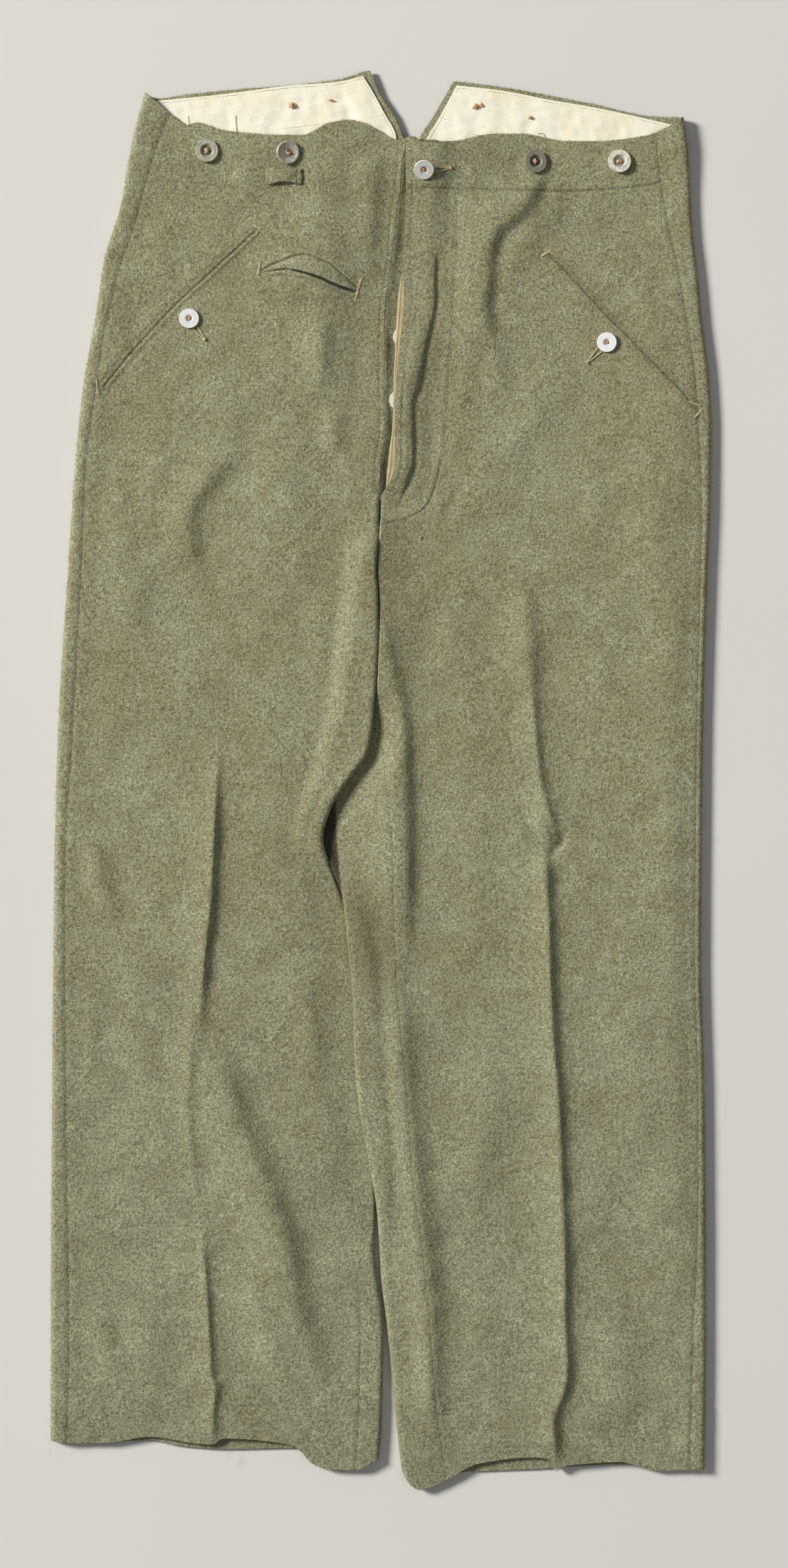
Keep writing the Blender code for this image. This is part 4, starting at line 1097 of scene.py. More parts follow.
def cotton_material(name, colour, warm, weave=1500.0, deep=0.0002):
    p = Paint(name)
    tone = p.noise(45.0, 3.0, 0.6)
    base = p.blend(p.span(tone, 0.42, 0.72), colour, warm)
    x = p.add("ShaderNodeTexWave", wave_type="BANDS", bands_direction="DIAGONAL")
    x.inputs["Scale"].default_value = weave / 2.5
    x.inputs["Distortion"].default_value = 0.6
    x.inputs["Detail"].default_value = 1.0
    p.link(p.pos, x.inputs["Vector"])
    grain = p.noise(900.0, 2.0, 0.6)
    base = p.blend(p.math("MULTIPLY", p.span(grain, 0.5, 0.3), 0.18), base,
                   tint(150, 134, 100))
    h = p.math("ADD", p.math("MULTIPLY", x.outputs["Fac"], 0.10), grain)
    return p.finish(base, 0.85, normal=p.bump(h, deep, 0.7), sheen=0.08,
                    specular=0.25)


def thread_material(name, a, b):
    p = Paint(name)
    base = p.blend(p.span(p.noise(500.0, 2.0, 0.6), 0.35, 0.65), a, b)
    ply = p.noise(2200.0, 1.0, 0.5)
    return p.finish(base, 0.7, normal=p.bump(ply, 0.0001, 0.6), sheen=0.1,
                    specular=0.3)


def zinc_material(name, colour, dark, rough=0.42, metal=0.75, worn=0.5):
    """Stamped sheet zinc: dull bloom, rubbed bright on its high places."""
    p = Paint(name)
    bloom = p.noise(420.0, 4.0, 0.65, warp=0.6)
    spots = p.noise(1500.0, 2.0, 0.6)
    base = p.blend(p.span(bloom, 0.42, 0.66, 0.0, worn), colour, dark)
    base = p.blend(p.math("MULTIPLY", p.span(spots, 0.60, 0.72), 0.35), base,
                   dark)
    # the "dark" mark: painted shade in the button's sunk centre
    base = p.blend(1.0, base, p.grey(p.math("SUBTRACT", 1.0, p.mark(
        "dark"))), mode="MULTIPLY")
    r = p.math("ADD", p.math("MULTIPLY", bloom, 0.25), rough - 0.12)
    h = p.math("ADD", bloom, p.math("MULTIPLY", spots, 0.5))
    return p.finish(base, r, metal, normal=p.bump(h, 0.0001, 0.5),
                    specular=0.4)


wool = wool_material("wool_field_grey")
cream = cotton_material("cotton_cream_twill", tint(255, 251, 231),
                        tint(255, 245, 216))
tan = cotton_material("cotton_tan_twill", tint(194, 180, 142),
                      tint(176, 158, 116), 1300.0)
thread_tan = thread_material("thread_tan", tint(216, 202, 166),
                             tint(186, 168, 128))
thread_copper = thread_material("thread_copper", tint(234, 194, 154),
                                tint(202, 156, 116))
thread_gold = thread_material("thread_gold", tint(226, 188, 136),
                              tint(188, 146, 98))
thread_lining = thread_material("thread_lining", tint(178, 168, 144),
                                tint(150, 141, 120))
thread_olive = thread_material("thread_olive", tint(126, 120, 86),
                               tint(98, 92, 64))
thread_dark = thread_material("thread_dark", tint(112, 98, 74),
                              tint(80, 70, 54))
zinc_white = zinc_material("zinc_white", tint(252, 252, 250),
                           tint(224, 225, 226), 0.5, 0.08, 0.5)
zinc_pale = zinc_material("zinc_pale", tint(240, 240, 230),
                          tint(200, 200, 190), 0.48, 0.15, 0.6)
zinc_grey = zinc_material("zinc_grey", tint(204, 200, 180),
                          tint(150, 147, 130), 0.46, 0.25, 0.8)
zinc_mid = zinc_material("zinc_mid", tint(244, 239, 222),
                         tint(178, 174, 158), 0.44, 0.2, 0.7)
zinc_slate = zinc_material("zinc_slate", tint(166, 163, 142),
                           tint(130, 128, 113), 0.5, 0.25, 0.7)

# ------------------------------------------------------------- cloth panels
pieces = {}          # node -> object
declared = []        # (object, node or None, slot, sheet or None)


def hat(u, v, cu, cv, ru, rv):
    return np.exp(-((u - cu) / ru) ** 2 - ((v - cv) / rv) ** 2)


def stain(x, y):
    u, v = x / UNIT + 608.0, 1242.5 - y / UNIT
    b = 1.0 * hat(u, v, 600, 1515, 40, 80) + 0.5 * hat(u, v, 575, 1440, 30, 60)
    b += 0.25 * hat(u, v, 650, 930, 100, 170)
    b += 0.20 * hat(u, v, 262, 640, 110, 50)
    b += 0.18 * hat(u, v, 380, 1180, 80, 240)
    b += 0.15 * hat(u, v, 880, 1700, 70, 300)
    b += 0.06 * waves(x, y, 120, 31)
    return np.clip(b, 0.0, 1.0)


def row_marks(x, y, rows):
    """Dark lines: nap pressed dark along stitched lines, and painted shade along the pocket mouths and the
    watch pocket's slit.
    """
    d = np.zeros(np.shape(x))
    for points, amount, width in rows:
        p = line(points)
        m = boxed(x, y, p, 4 * width)
        if m.any():
            s, _ = along(x[m], y[m], p)
            d[m] = np.maximum(d[m], amount * bell(s, 0, width))
    return d


LIP = Curve(plan_rows(((536, 1262), (537, 1283), (537, 1323), (540, 1364),
                       (543, 1400), (548, 1435), (552, 1466))))


def under_edge_shade(x, y):
    """Painted shade where the lower leg lies deep under the upper one's edge."""
    v = 1242.5 - y / UNIT
    d = (x - LIP(y)) / 1.6
    return 0.8 * (1 - ease(d + 0.7)) * ease((v - 1262) / 24) * ease(
        (1458 - v) / 26)


def tone(x, y):
    """Broad darker areas painted into the colour: painted shade on the shaded flanks of folds, under the watch
    pocket's lip and beside the right leg's edge at the crotch, and a darker patch below the waist beside the
    fly.
    """
    u, v = x / UNIT + 608.0, 1242.5 - y / UNIT
    d = 0.17 * hat(u, v, 560, 400, 34, 230)
    d += 0.14 * hat(u, v, 760, 255, 50, 60)
    d += 0.10 * hat(u, v, 845, 330, 45, 45)
    d += 0.10 * hat(u, v, 650, 1150, 22, 200)
    d += 0.08 * hat(u, v, 655, 1330, 22, 160)
    d += 0.12 * hat(u, v, 520, 480, 52, 12)
    d += 0.13 * hat(u, v, 620, 895, 24, 80)
    d += 0.08 * hat(u, v, 600, 950, 7, 200)
    return d


def shades(ob, x, y, dark):
    """Paint marks: one value for each point of both skins and the rim."""
    me = ob.data
    n = len(me.vertices)
    for name, v in (("brown", stain(x, y)), ("dark", dark)):
        v = np.broadcast_to(v, x.shape)
        full = np.zeros(n)
        full[:len(v)] = v
        full[len(v):2 * len(v)] = v
        full[2 * len(v):] = float(np.mean(v))
        me.attributes.new(name, "FLOAT", "POINT").data.foreach_set(
            "value", full.astype(np.float32))


def panel(name, s, arcs, yn, face, fine, seams, material, rows=(),
          sharp=(), slits=()):
    """seams: depth of the seam's dip at the first and last column, as
    functions of the row."""
    place = side_at(s, face)
    a, r, faces = grid_mesh(arcs, yn, ((fine, 4.6, 2), (sharp, 1.9, 2)),
                            place, slits, s.sgn)
    x, y, z = place(a, r)
    outer = metres(x, y, z)
    if face * s.sgn > 0:
        faces = [f[::-1] for f in faces]
    hem = np.minimum(s.hem[0](x), s.hem[1](x)) + 45.0
    thick = WOOL + 0.75 * ease((hem - y) / 2.5)
    back = yn[::-1]
    d0 = a - np.interp(r, back, arcs[::-1, 0])
    d1 = np.interp(r, back, arcs[::-1, -1]) - a
    dent = seams[0](r) * (bell(d0, 0, 1.3) - 0.35 * bell(d0, 3.6, 1.8))
    dent = dent + seams[1](r) * (bell(d1, 0, 1.3)
                                 - 0.35 * bell(d1, 3.6, 1.8))
    ob = wall(name, outer, faces, thick, material, bulge=0.12, dent=dent)
    dark = row_marks(x, y, rows)
    for k, d in ((0, d0), (1, d1)):
        dark = np.maximum(dark, 0.42 * seams[k](r) * bell(d, 0, 1.5))
    # painted shade on the left leg where it runs under the right leg's edge
    if not s.right:
        dark = np.maximum(dark, under_edge_shade(x, y))
    hem_line = s.hem[0](x) + 47.0
    dark = dark + 0.05 * ease((hem_line - y) / 3.0)
    # tone(): broad painted shade added over the front faces
    if face > 0:
        dark = np.minimum(dark + tone(x, y), 0.96)
    shades(ob, x, y, dark)
    return ob, (x, y, z)


yn = rows_y(PANEL_STEP)
fine_right = [line(SLASH["right"], 8), line(SEAM_UP, 8), line(SEAM_LOW, 8),
              line(ROW_LOW, 8)]
fine_left = [line(SLASH["left"], 8), line(J_LINE, 8), line(FACING_ROW, 8),
             line(J_FOLD, 8)]


def deep(v):
    return lambda r: v + 0.0 * r


def below(v, top=30.0, run=50.0):
    """A seam that fades in where its line starts to show."""
    return lambda r: v * ease((top - r) / run)


# rows: the marks on SLASH, WATCH_SLIT and WATCH_DEEP are painted shade in the pocket openings; the rest are
# seam and stitch lines
pieces["front_right"], _ = panel(
    "front_right_cloth", right, front_right_arcs(yn), yn, 1, fine_right,
    (deep(0.3), below(0.26, -345.0)), wool,
    ((SLASH["right"], 0.28, 0.8), (SLASH["right"], 0.15, 3.6),
     (SEAM_UP, 0.42, 0.5), (SEAM_LOW, 0.14, 0.6), (WATCH_SLIT, 0.93, 0.5),
     (WATCH_DEEP, 0.95, 0.85), (ROW_LOW, 0.22, 0.9),
     (FACING_FAINT, 0.12, 1.2), (EDGE_ROW, 0.08, 1.0)),
    fine_right[:4])
yl = rows_y(PANEL_STEP * 1.04)
# rows: the marks on SLASH are painted shade in the pocket mouth; the rest are seam and stitch lines
pieces["front_left"], _ = panel(
    "front_left_cloth", left, front_left_arcs(yl), yl, 1, fine_left,
    (deep(0.3), below(0.22)), wool,
    ((SLASH["left"], 0.40, 0.9), (SLASH["left"], 0.24, 3.0),
     (J_LINE, 0.08, 1.1), (J_LINE[6:], 0.22, 0.9),
     (FACING_ROW, 0.22, 1.1), (FLY_ROW, 0.08, 1.0)),
    fine_left[:1] + [line(J_LINE[6:], 8)])
yb = rows_y(4.0)
pieces["back_right"], _ = panel(
    "back_right_cloth", right, back_arcs(right, yb), yb, -1, (),
    (deep(0.3), below(0.26, -345.0)), wool)
pieces["back_left"], _ = panel(
    "back_left_cloth", left, back_arcs(left, yb), yb, -1,
    [np.array([(float(LIP(k)), k) for k in np.arange(-8.0, -100.0, -6.0)])],
    (deep(0.3), below(0.22)), wool)


# ---------------------------------------------------------- sheets and strips
def resample(points, n, smooth=True):
    p = smooth_path(points, 1.5) if smooth else np.array(points, float)
    d = np.concatenate([[0], np.cumsum(np.hypot(*np.diff(p, axis=0).T))])
    t = np.linspace(0, d[-1], n)
    return np.stack([np.interp(t, d, p[:, 0]), np.interp(t, d, p[:, 1])], 1)


def patch(top, bottom, lside, rside, ns, nt):
    """Points filling four boundary lines (mm)."""
    s = np.linspace(0, 1, ns)[None, :, None]
    t = np.linspace(0, 1, nt)[:, None, None]
    a, b = resample(top, ns)[None], resample(bottom, ns)[None]
    c, d = resample(lside, nt)[:, None], resample(rside, nt)[:, None]
    q = (1 - t) * a + t * b + (1 - s) * c + s * d
    q = q - ((1 - t) * (1 - s) * a[:, :1] + (1 - t) * s * a[:, -1:]
             + t * (1 - s) * b[:, :1] + t * s * b[:, -1:])
    return q[..., 0], q[..., 1]


def sheet_mesh(name, x, y, z, thick, material, up=True, bulge=0.2):
    """A wall whose face is the grid x, y, z (rows go down, columns right)."""
    rows, cols = x.shape
    outer = metres(x, y, z).reshape(-1, 3)
    faces = []
    for j in range(rows - 1):
        for i in range(cols - 1):
            q = [j * cols + i, (j + 1) * cols + i, (j + 1) * cols + i + 1,
                 j * cols + i + 1]
            faces.append(q if up else q[::-1])
    return wall(name, outer, faces, thick, material, bulge=bulge)


def lining(name, s, top, lside, rside, low):
    tp, ls, rs = plan(top), plan(lside), plan(rside)
    bottom = [ls[-1], ((ls[-1][0] + rs[-1][0]) / 2, low), rs[-1]]
    x, y = patch(tp, bottom, ls, rs, 84, 34)
    z = s.under(x, y) + WOOL + COTTON + 0.2
    rip = 0.22 * waves(x * 1.6, y * 0.6, 24, 41) + 0.15 * waves(x, y, 9, 42)
    inner = np.minimum(np.linspace(0, 1, x.shape[0]) * 6, 1)[:, None]
    z = z + rip * inner * 0.8
    u = x / UNIT + 608.0
    for cu, w, h in ((575, 15, .9), (548, 9, -.6), (520, 9, .5), (770, 22, .6),
                     (720, 12, .5), (400, 30, .4), (950, 26, .4)):
        v = 1242.5 - y / UNIT
        z = z + h * bell(u - 0.35 * (v - 160), cu, w) * inner
    z = np.minimum(z, s.over(x, y) - WOOL - 0.25)
    return sheet_mesh(name, x, y, z, COTTON, cream)


LIN_R_TOP = ((249, 161), (300, 156), (365, 149), (456, 137), (535, 131),
             (579, 121))
LIN_R_V = ((579, 121), (594, 145), (613, 180), (625, 200), (632, 221),
           (628, 262))
LIN_R_OUT = ((249, 161), (247, 200), (246, 258))
LIN_L_TOP = ((729, 136), (805, 145), (876, 159), (936, 169), (995, 181),
             (1073, 199))
LIN_L_V = ((729, 136), (702, 186), (678, 226), (664, 262))
LIN_L_OUT = ((1073, 199), (1074, 230), (1074, 262))
pieces["waist_lining_right"] = lining("lining_right", right, LIN_R_TOP,
                                      LIN_R_OUT, LIN_R_V, 447.0)
pieces["waist_lining_left"] = lining("lining_left", left, LIN_L_TOP,
                                     LIN_L_V, LIN_L_OUT, 446.0)


# fly: underlap behind the opening, and the tan facing turned out of its edge
def underlap():
    """Sewn to the right front's edge, flush with it there, and running down
    under the left front."""
    rows = np.linspace(464.0, 203.0, 124)
    cols = []
    for y in rows:
        a = float(OPEN_EDGE(y)) + 0.10
        low = 40.0 if y > 260 else 28.0
        cols.append([a + (low - a) * t for t in
                     (0, .015, .03, .05, .08, .12, .16, .2, .26, .34, .45, .6,
                      .8, 1)])
    x = np.array(cols)
    y = np.repeat(rows[:, None], x.shape[1], 1)
    edge = OPEN_EDGE(y)
    flush = right.over(edge - 0.6, y) - 0.28
    run = 5.0 - 1.8 * np.exp(-((y - 275.0) / 9.0) ** 4)
    flat = 4.95 - 0.05 * waves(x, y, 18, 51)
    flat = flat + 2.2 * ease((y - 425.0) / 40.0)
    z = mix(flush, flat, ease((x - edge - 0.7) / run))
    ob = sheet_mesh("underlap_cloth", x, y, z, WOOL, wool)
    # painted shade: the underlap lies in the gap under the fly, darker towards the crotch
    shades(ob, x.ravel(), y.ravel(),
           0.22 + 0.4 * ease((272.0 - y.ravel()) / 55.0))
    return ob


def fly_facing():
    """Tan strip: starts under the wool edge, shows, and turns down."""
    rows = np.linspace(392.0, 211.0, 110)
    face = Curve(plan_rows(((643, 428), (641, 440), (638.5, 452), (636, 466),
                            (634.5, 480), (632, 520), (630, 564),
                            (628, 600), (627.5, 640), (625.5, 686), (622, 712),
                            (619, 740), (616.5, 762), (616, 776))))
    x, z = [], []
    for y in rows:
        wide = float(FLY_CUT(y))
        out = min(float(face(y)), wide - 0.25)
        out = out + 3.0 * float(ease((y - 366.0) / 6.0))
        low = left.over(np.array([wide + 1.5, wide + 4, wide + 9,
                                  wide + 13]), np.full(4, y)) - WOOL - 0.35
        xs = [out + 0.25, out, out + 0.15, out + (wide - out) * .3,
              out + (wide - out) * .45, out + (wide - out) * .52,
              out + (wide - out) * .62, wide + 0.6, wide + 4, wide + 9,
              wide + 13]
        xs = list(np.maximum.accumulate(np.array(xs)[2:]))
        xs = [out + 0.25, out] + xs
        top = min(8.85, float(low[0]))
        zs = [8.2, 8.5, 8.8, 8.95, 9.0, 8.72, 8.92, top,
              min(8.8, float(low[1])), min(8.75, float(low[2])),
              min(8.75, float(low[3]))]
        x.append(xs)
        z.append(zs)
    x, z = np.array(x), np.array(z)
    y = np.repeat(rows[:, None], x.shape[1], 1)
    z = z + 0.08 * waves(x, y, 22, 61)
    return sheet_mesh("fly_facing_cloth", x, y, z, 0.8, tan)


pieces["fly_underlap"] = underlap()
pieces["fly_facing"] = fly_facing()


def facing_strip(name, points, wide, z0, thick):
    p = resample(plan(points), 60)
    d = np.gradient(p, axis=0)
    n = np.stack([-d[:, 1], d[:, 0]], 1) / np.hypot(*d.T)[:, None]
    k = np.linspace(-wide, wide, 9)
    x = p[:, 0][:, None] + n[:, 0][:, None] * k
    y = p[:, 1][:, None] + n[:, 1][:, None] * k
    z = z0 + 0.15 * waves(x, y, 20, 71)
    flip = np.cross(p[-1] - p[0], n[0]) < 0
    ob = sheet_mesh(name, x, y, z, thick, wool, up=not flip)
    # painted shade: the whole strip is darkened for the shade inside the pocket
    shades(ob, x.ravel(), y.ravel(), 0.55)
    return ob


pieces["pocket_facing_right"] = facing_strip("pocket_inside_right",
                                             SLASH["right"], 9.0, 3.9, 1.3)
pieces["pocket_facing_left"] = facing_strip("pocket_inside_left",
                                            SLASH["left"], 9.0, 3.9, 1.3)
pieces["watch_pocket_facing"] = facing_strip(
    "watch_pocket_inside", SEAM_LOW, 9.0, 3.9, 1.3)


def chain_loop():
    ns, nt = 44, 12
    s = np.linspace(-1, 1, ns)[None, :]
    t = np.linspace(0, 1, nt)[:, None]
    half = 12.9
    top = 6.3 - 1.5 * (1 - s * s) + 0.25 * np.sin(s * 7)
    low = -6.6 + 2.9 * (1 - s * s) ** 0.8 + 0.7 * (1 - s * s) * s
    corner = np.maximum(np.abs(s) - 0.78, 0) / 0.22
    top = top - 1.5 * corner ** 2
    low = low + 1.7 * corner ** 2
    x = -70.8 + s * half * (1 - 0.09 * np.sin(t * math.pi)) + 0.0 * t
    y = 436.9 + top + (low - top) * t
    base = right.over(x, y)
    z = base + WOOL + 0.25 + 1.9 * np.cos(s * math.pi / 2) ** 0.8
    z = z + 0.5 * np.sin(t * math.pi) - 0.6 * bell(s, -0.85, 0.12) - 0.6 * bell(
        s, 0.85, 0.12)
    z = np.maximum(z, base + WOOL + 0.1)
    ob = sheet_mesh("chain_loop_cloth", x, y, z, 1.7, wool, bulge=0.5)
    shades(ob, x.ravel(), y.ravel(), 0.0)
    return ob


pieces["watch_chain_loop"] = chain_loop()


# ------------------------------------------------------------ threads, stitches
class Soup:
    """Collects small solids into one mesh."""

    def __init__(self):
        self.v, self.f, self.n = [], [], 0

    def add(self, verts, faces):
        self.v.append(np.asarray(verts, float))
        self.f.extend([[i + self.n for i in q] for q in faces])
        self.n += len(verts)

    def build(self, name, material):
        return to_object(name, np.vstack(self.v), self.f, material, angle=60)


def tube(points, radius, sides=5, tip=1.0):
    """A round thread along points (mm): closed ends."""
    p = np.asarray(points, float)
    d = np.gradient(p, axis=0)
    d /= np.maximum(np.linalg.norm(d, axis=1), 1e-9)[:, None]
    ref = np.array([0.0, 0.0, 1.0])
    if np.abs(d[:, 2]).max() > 0.95:
        ref = np.array([0.31, 0.92, 0.2])
    a = np.cross(d, ref)
    a /= np.maximum(np.linalg.norm(a, axis=1), 1e-9)[:, None]
    b = np.cross(d, a)
    r = np.broadcast_to(radius, (len(p),)).astype(float).copy()
    r[0] *= tip
    r[-1] *= tip
    ang = np.arange(sides) * math.tau / sides
    ring = (p[:, None] + r[:, None, None] * (
        a[:, None] * np.cos(ang)[None, :, None]
        + b[:, None] * np.sin(ang)[None, :, None]))
    v = ring.reshape(-1, 3)
    f = []
    for j in range(len(p) - 1):
        for i in range(sides):
            k = (i + 1) % sides
            f.append([j * sides + i, j * sides + k, (j + 1) * sides + k,
                      (j + 1) * sides + i])
    f.append([i for i in range(sides)][::-1])
    f.append([(len(p) - 1) * sides + i for i in range(sides)])
    return np.stack([v[:, 0], v[:, 1] - MID_Y, v[:, 2]], 1) * MM, f


def stitches(soup, points, height, pitch=2.6, dash=1.7, radius=0.2, seed=1,
             rise=0.12, units=True, offset=0.0, keep=1.0):
    """Running stitches: short threads that dip into the cloth at both ends."""
    p = line(points, 1.0) if units else np.asarray(points, float)
    d = np.gradient(p, axis=0)
    d /= np.hypot(*d.T)[:, None]
    p = p + np.stack([-d[:, 1], d[:, 0]], 1) * offset
    run = np.concatenate([[0], np.cumsum(np.hypot(*np.diff(p, axis=0).T))])
    r = np.random.default_rng(seed)
    at = np.arange(pitch / 2, run[-1] - pitch / 2, pitch)
    at = at + r.normal(0, 0.12, len(at))
    for s in at:
        if r.random() > keep:
            continue
        k = s + np.linspace(-0.5, 0.5, 4) * dash * r.uniform(0.85, 1.1)
        x = np.interp(k, run, p[:, 0]) + r.normal(0, 0.06)
        y = np.interp(k, run, p[:, 1]) + r.normal(0, 0.06)
        z = height(x, y) + np.array([-0.22, rise, rise, -0.22])
        soup.add(*tube(np.stack([x, y, z], 1), radius, 4, 0.8))


def bar_tack(soup, a, b, height, n=7, wide=1.3, radius=0.3, seed=3):
    """A short bar worked over with thread, from a to b (plan units)."""
    (ax, ay), (bx, by) = plan([a, b])
    d = np.array([bx - ax, by - ay])
    ln = np.hypot(*d)
    d = d / ln
    side = np.array([-d[1], d[0]])
    r = np.random.default_rng(seed)
    for k in (-0.45, 0.0, 0.45):
        t = np.linspace(0, 1, 7)
        q = np.array([ax, ay]) + t[:, None] * d * ln + side * (
            k + 0.12 * np.sin(t * 9 + k * 5))[:, None]
        z = height(q[:, 0], q[:, 1]) + 0.25 - 0.5 * (2 * t - 1) ** 6
        soup.add(*tube(np.column_stack([q, z]), radius, 5, 0.7))
    for i in range(n):
        c = np.array([ax, ay]) + d * ln * (i + 0.5) / n
        w = wide * r.uniform(0.7, 1.15)
        tilt = r.uniform(-0.25, 0.25)
        q = np.array([c + (side + d * tilt) * k for k in
                      (-w, -w * 0.4, w * 0.4, w)])
        z = height(q[:, 0], q[:, 1]) + np.array([-0.1, 0.62, 0.62, -0.1])
        soup.add(*tube(np.column_stack([q, z]), radius * 0.9, 5, 0.8))


def loose(soup, points, height, radius=0.2, lift=0.5, seed=5, curl=0.4):
    """A thread end lying on or standing off the cloth (plan units)."""
    p = line(points, 0.9)
    t = np.linspace(0, 1, len(p))
    r = np.random.default_rng(seed)
    w = curl * np.stack([np.sin(t * 9 + r.uniform(0, 6)),
                         np.cos(t * 7 + r.uniform(0, 6))], 1) * t[:, None]
    q = p + w
    z = height(q[:, 0], q[:, 1]) + radius + lift * np.sin(t * math.pi) ** 0.8
    soup.add(*tube(np.column_stack([q, z]), radius, 5, 0.6))


def knot(soup, at, height, size=1.7, radius=0.42, seed=7, turns=5, flat=1.0):
    """A little bundle of thread worked through the cloth."""
    (cx, cy), = plan([at])
    r = np.random.default_rng(seed)
    for i in range(turns):
        a = r.uniform(0, math.tau)
        t = np.linspace(0, 1, 7)
        w = size * r.uniform(0.7, 1.1)
        px = cx + np.cos(a) * w * (2 * t - 1) + r.normal(0, 0.25)
        py = cy + np.sin(a) * w * (2 * t - 1) * flat + 0.5 * np.sin(
            t * 5 + a) + r.normal(0, 0.2)
        z = height(px, py) + 0.15 + (0.5 + 0.22 * i) * np.sin(t * math.pi)
        soup.add(*tube(np.column_stack([px, py, z]), radius, 5, 0.8))


def buttonhole(soup, start, end, height, seed=9):
    """Worked hole seen beside its button: two purled edges and a knot."""
    (ax, ay), (bx, by) = plan([start, end])
    d = np.array([bx - ax, by - ay])
    ln = np.hypot(*d)
    d = d / ln
    side = np.array([-d[1], d[0]])
    for k in (-1, 1):
        t = np.linspace(0, 1, int(ln / 0.55))
        off = k * (1.75 * (1 - t) ** 0.8 + 0.15)
        q = np.array([ax, ay]) + (t * ln)[:, None] * d + off[:, None] * side
        z = height(q[:, 0], q[:, 1]) + 0.38
        rad = 0.46 + 0.09 * np.cos(np.arange(len(t)) * math.pi)
        soup.add(*tube(np.column_stack([q, z]), rad, 6, 0.6))
    knot(soup, end, height, 1.3, 0.4, seed, 7)


def surf(s, more=0.0):
    return lambda x, y: s.over(np.asarray(x, float),
                               np.asarray(y, float)) + more


on_r, on_l = surf(right), surf(left)
tan_soup, rust_soup, olive_soup, seam_soup = Soup(), Soup(), Soup(), Soup()
lining_soup = Soup()

# pockets: two rows of stitching along each slit, and bars at its ends
for s, h, key in ((right, on_r, "right"), (left, on_l, "left")):
    for k, off in enumerate((-3.3, 4.2)):
        off = off if key == "right" else -off
        stitches(tan_soup, SLASH[key], h, 1.8, 1.0, 0.25, 11 + k, offset=off,
                 rise=0.3, keep=0.92)
bar_tack(tan_soup, (402, 358), (418, 366), on_r, 4, 0.6, 0.24, 31)
bar_tack(tan_soup, (154, 603), (157, 634), on_r, 8, 0.6, 0.24, 32)
bar_tack(tan_soup, (863, 409), (880, 398), on_l, 5, 0.8, 0.28, 33)
bar_tack(tan_soup, (1121, 652), (1106, 668), on_l, 6, 1.0, 0.26, 34)
bar_tack(tan_soup, (1098, 640), (1118, 648), on_l, 5, 0.9, 0.24, 35)
loose(tan_soup, ((870, 398), (886, 408), (893, 414)), on_l, 0.22, 0.5, 36)
# watch pocket
stitches(tan_soup, ((418, 425), (439, 416), (470, 404), (486, 402),
                    (513, 411), (542, 429), (560, 446)), on_r, 1.8, 1.0,
         0.22, 41, rise=0.2)
stitches(tan_soup, ROW_LOW, on_r, 1.8, 1.0, 0.19, 42, rise=0.16)
bar_tack(tan_soup, (415, 418), (411, 441), on_r, 7, 0.75, 0.27, 43)
bar_tack(tan_soup, (577, 442), (566, 480), on_r, 9, 0.8, 0.28, 44)
# fly and facing rows
stitches(olive_soup, J_LINE, on_l, 2.7, 1.7, 0.17, 51, rise=0.05)
stitches(olive_soup, FACING_ROW, on_l, 2.7, 1.7, 0.17, 52, rise=0.05)
stitches(olive_soup, FLY_ROW, on_l, 2.6, 1.6, 0.16, 53, rise=0.06)
stitches(olive_soup, EDGE_ROW, on_r, 2.6, 1.6, 0.16, 54, rise=0.06)
stitches(olive_soup, FACING_FAINT, on_r, 2.8, 1.6, 0.15, 55, rise=0.04)
knot(tan_soup, (671, 857), on_l, 0.9, 0.3, 57, 4)
# thread line along the waist edge at both corners
stitches(tan_soup, ((262, 186), (272, 193), (284, 200)), on_r, 2.2, 1.6, 0.2,
         61)
stitches(tan_soup, ((1034, 225), (1060, 219)), on_l, 2.2, 1.6, 0.2, 62)
loose(tan_soup, ((331, 283), (340, 281), (350, 284)), on_r, 0.18, 0.3, 63)
loose(tan_soup, ((296, 298), (304, 296), (311, 301)), on_r, 0.15, 0.3, 64)
# watch-chain loop: bound ends
for a, b, sd in (((425, 273), (427, 293), 65), ((479, 273), (481, 292), 66)):
    bar_tack(tan_soup, a, b, surf(right, 1.0), 5, 0.35, 0.16, sd)
loose(tan_soup, ((427, 277), (426, 284), (427, 291)), surf(right, 1.5), 0.2,
      0.5, 67, 0.1)
loose(tan_soup, ((479, 275), (480, 283), (478, 291)), surf(right, 1.5), 0.2,
      0.5, 68, 0.1)


# lining: edge rows, slanting rows, knots where the back buttons are sewn
def on_lining(s):
    def f(x, y):
        x, y = np.asarray(x, float), np.asarray(y, float)
        z = s.under(x, y) + WOOL + COTTON + 0.2
        z = z + 0.8 * (0.22 * waves(x * 1.6, y * 0.6, 24, 41)
                       + 0.15 * waves(x, y, 9, 42))
        return z + 0.12
    return f


lin_r, lin_l = on_lining(right), on_lining(left)
for pts, h, sd in (
        (((253, 164), (300, 159.5), (365, 152.5), (456, 140.5), (535, 134.5),
          (577, 125)), lin_r, 71),
        (((577, 125), (591, 147), (610, 182), (622, 202), (630, 221)), lin_r,
         72),
        (((731, 140), (805, 149), (876, 163), (936, 173), (995, 185),
          (1066, 201)), lin_l, 73),
        (((731, 140), (705, 188), (680, 228)), lin_l, 74),
        (((430, 208), (500, 199), (568, 191), (613, 183)), lin_r, 75),
        (((702, 188), (760, 200), (815, 214)), lin_l, 76)):
    stitches(lining_soup, pts, h, 2.0, 1.7, 0.12, sd, rise=0.0)
knot(rust_soup, (466, 168), lin_r, 3.0, 0.42, 81, 13, 0.9)
knot(rust_soup, (529, 160), lin_r, 2.9, 0.3, 82, 7, 0.25)
knot(rust_soup, (759, 170), lin_l, 2.7, 0.42, 83, 10)
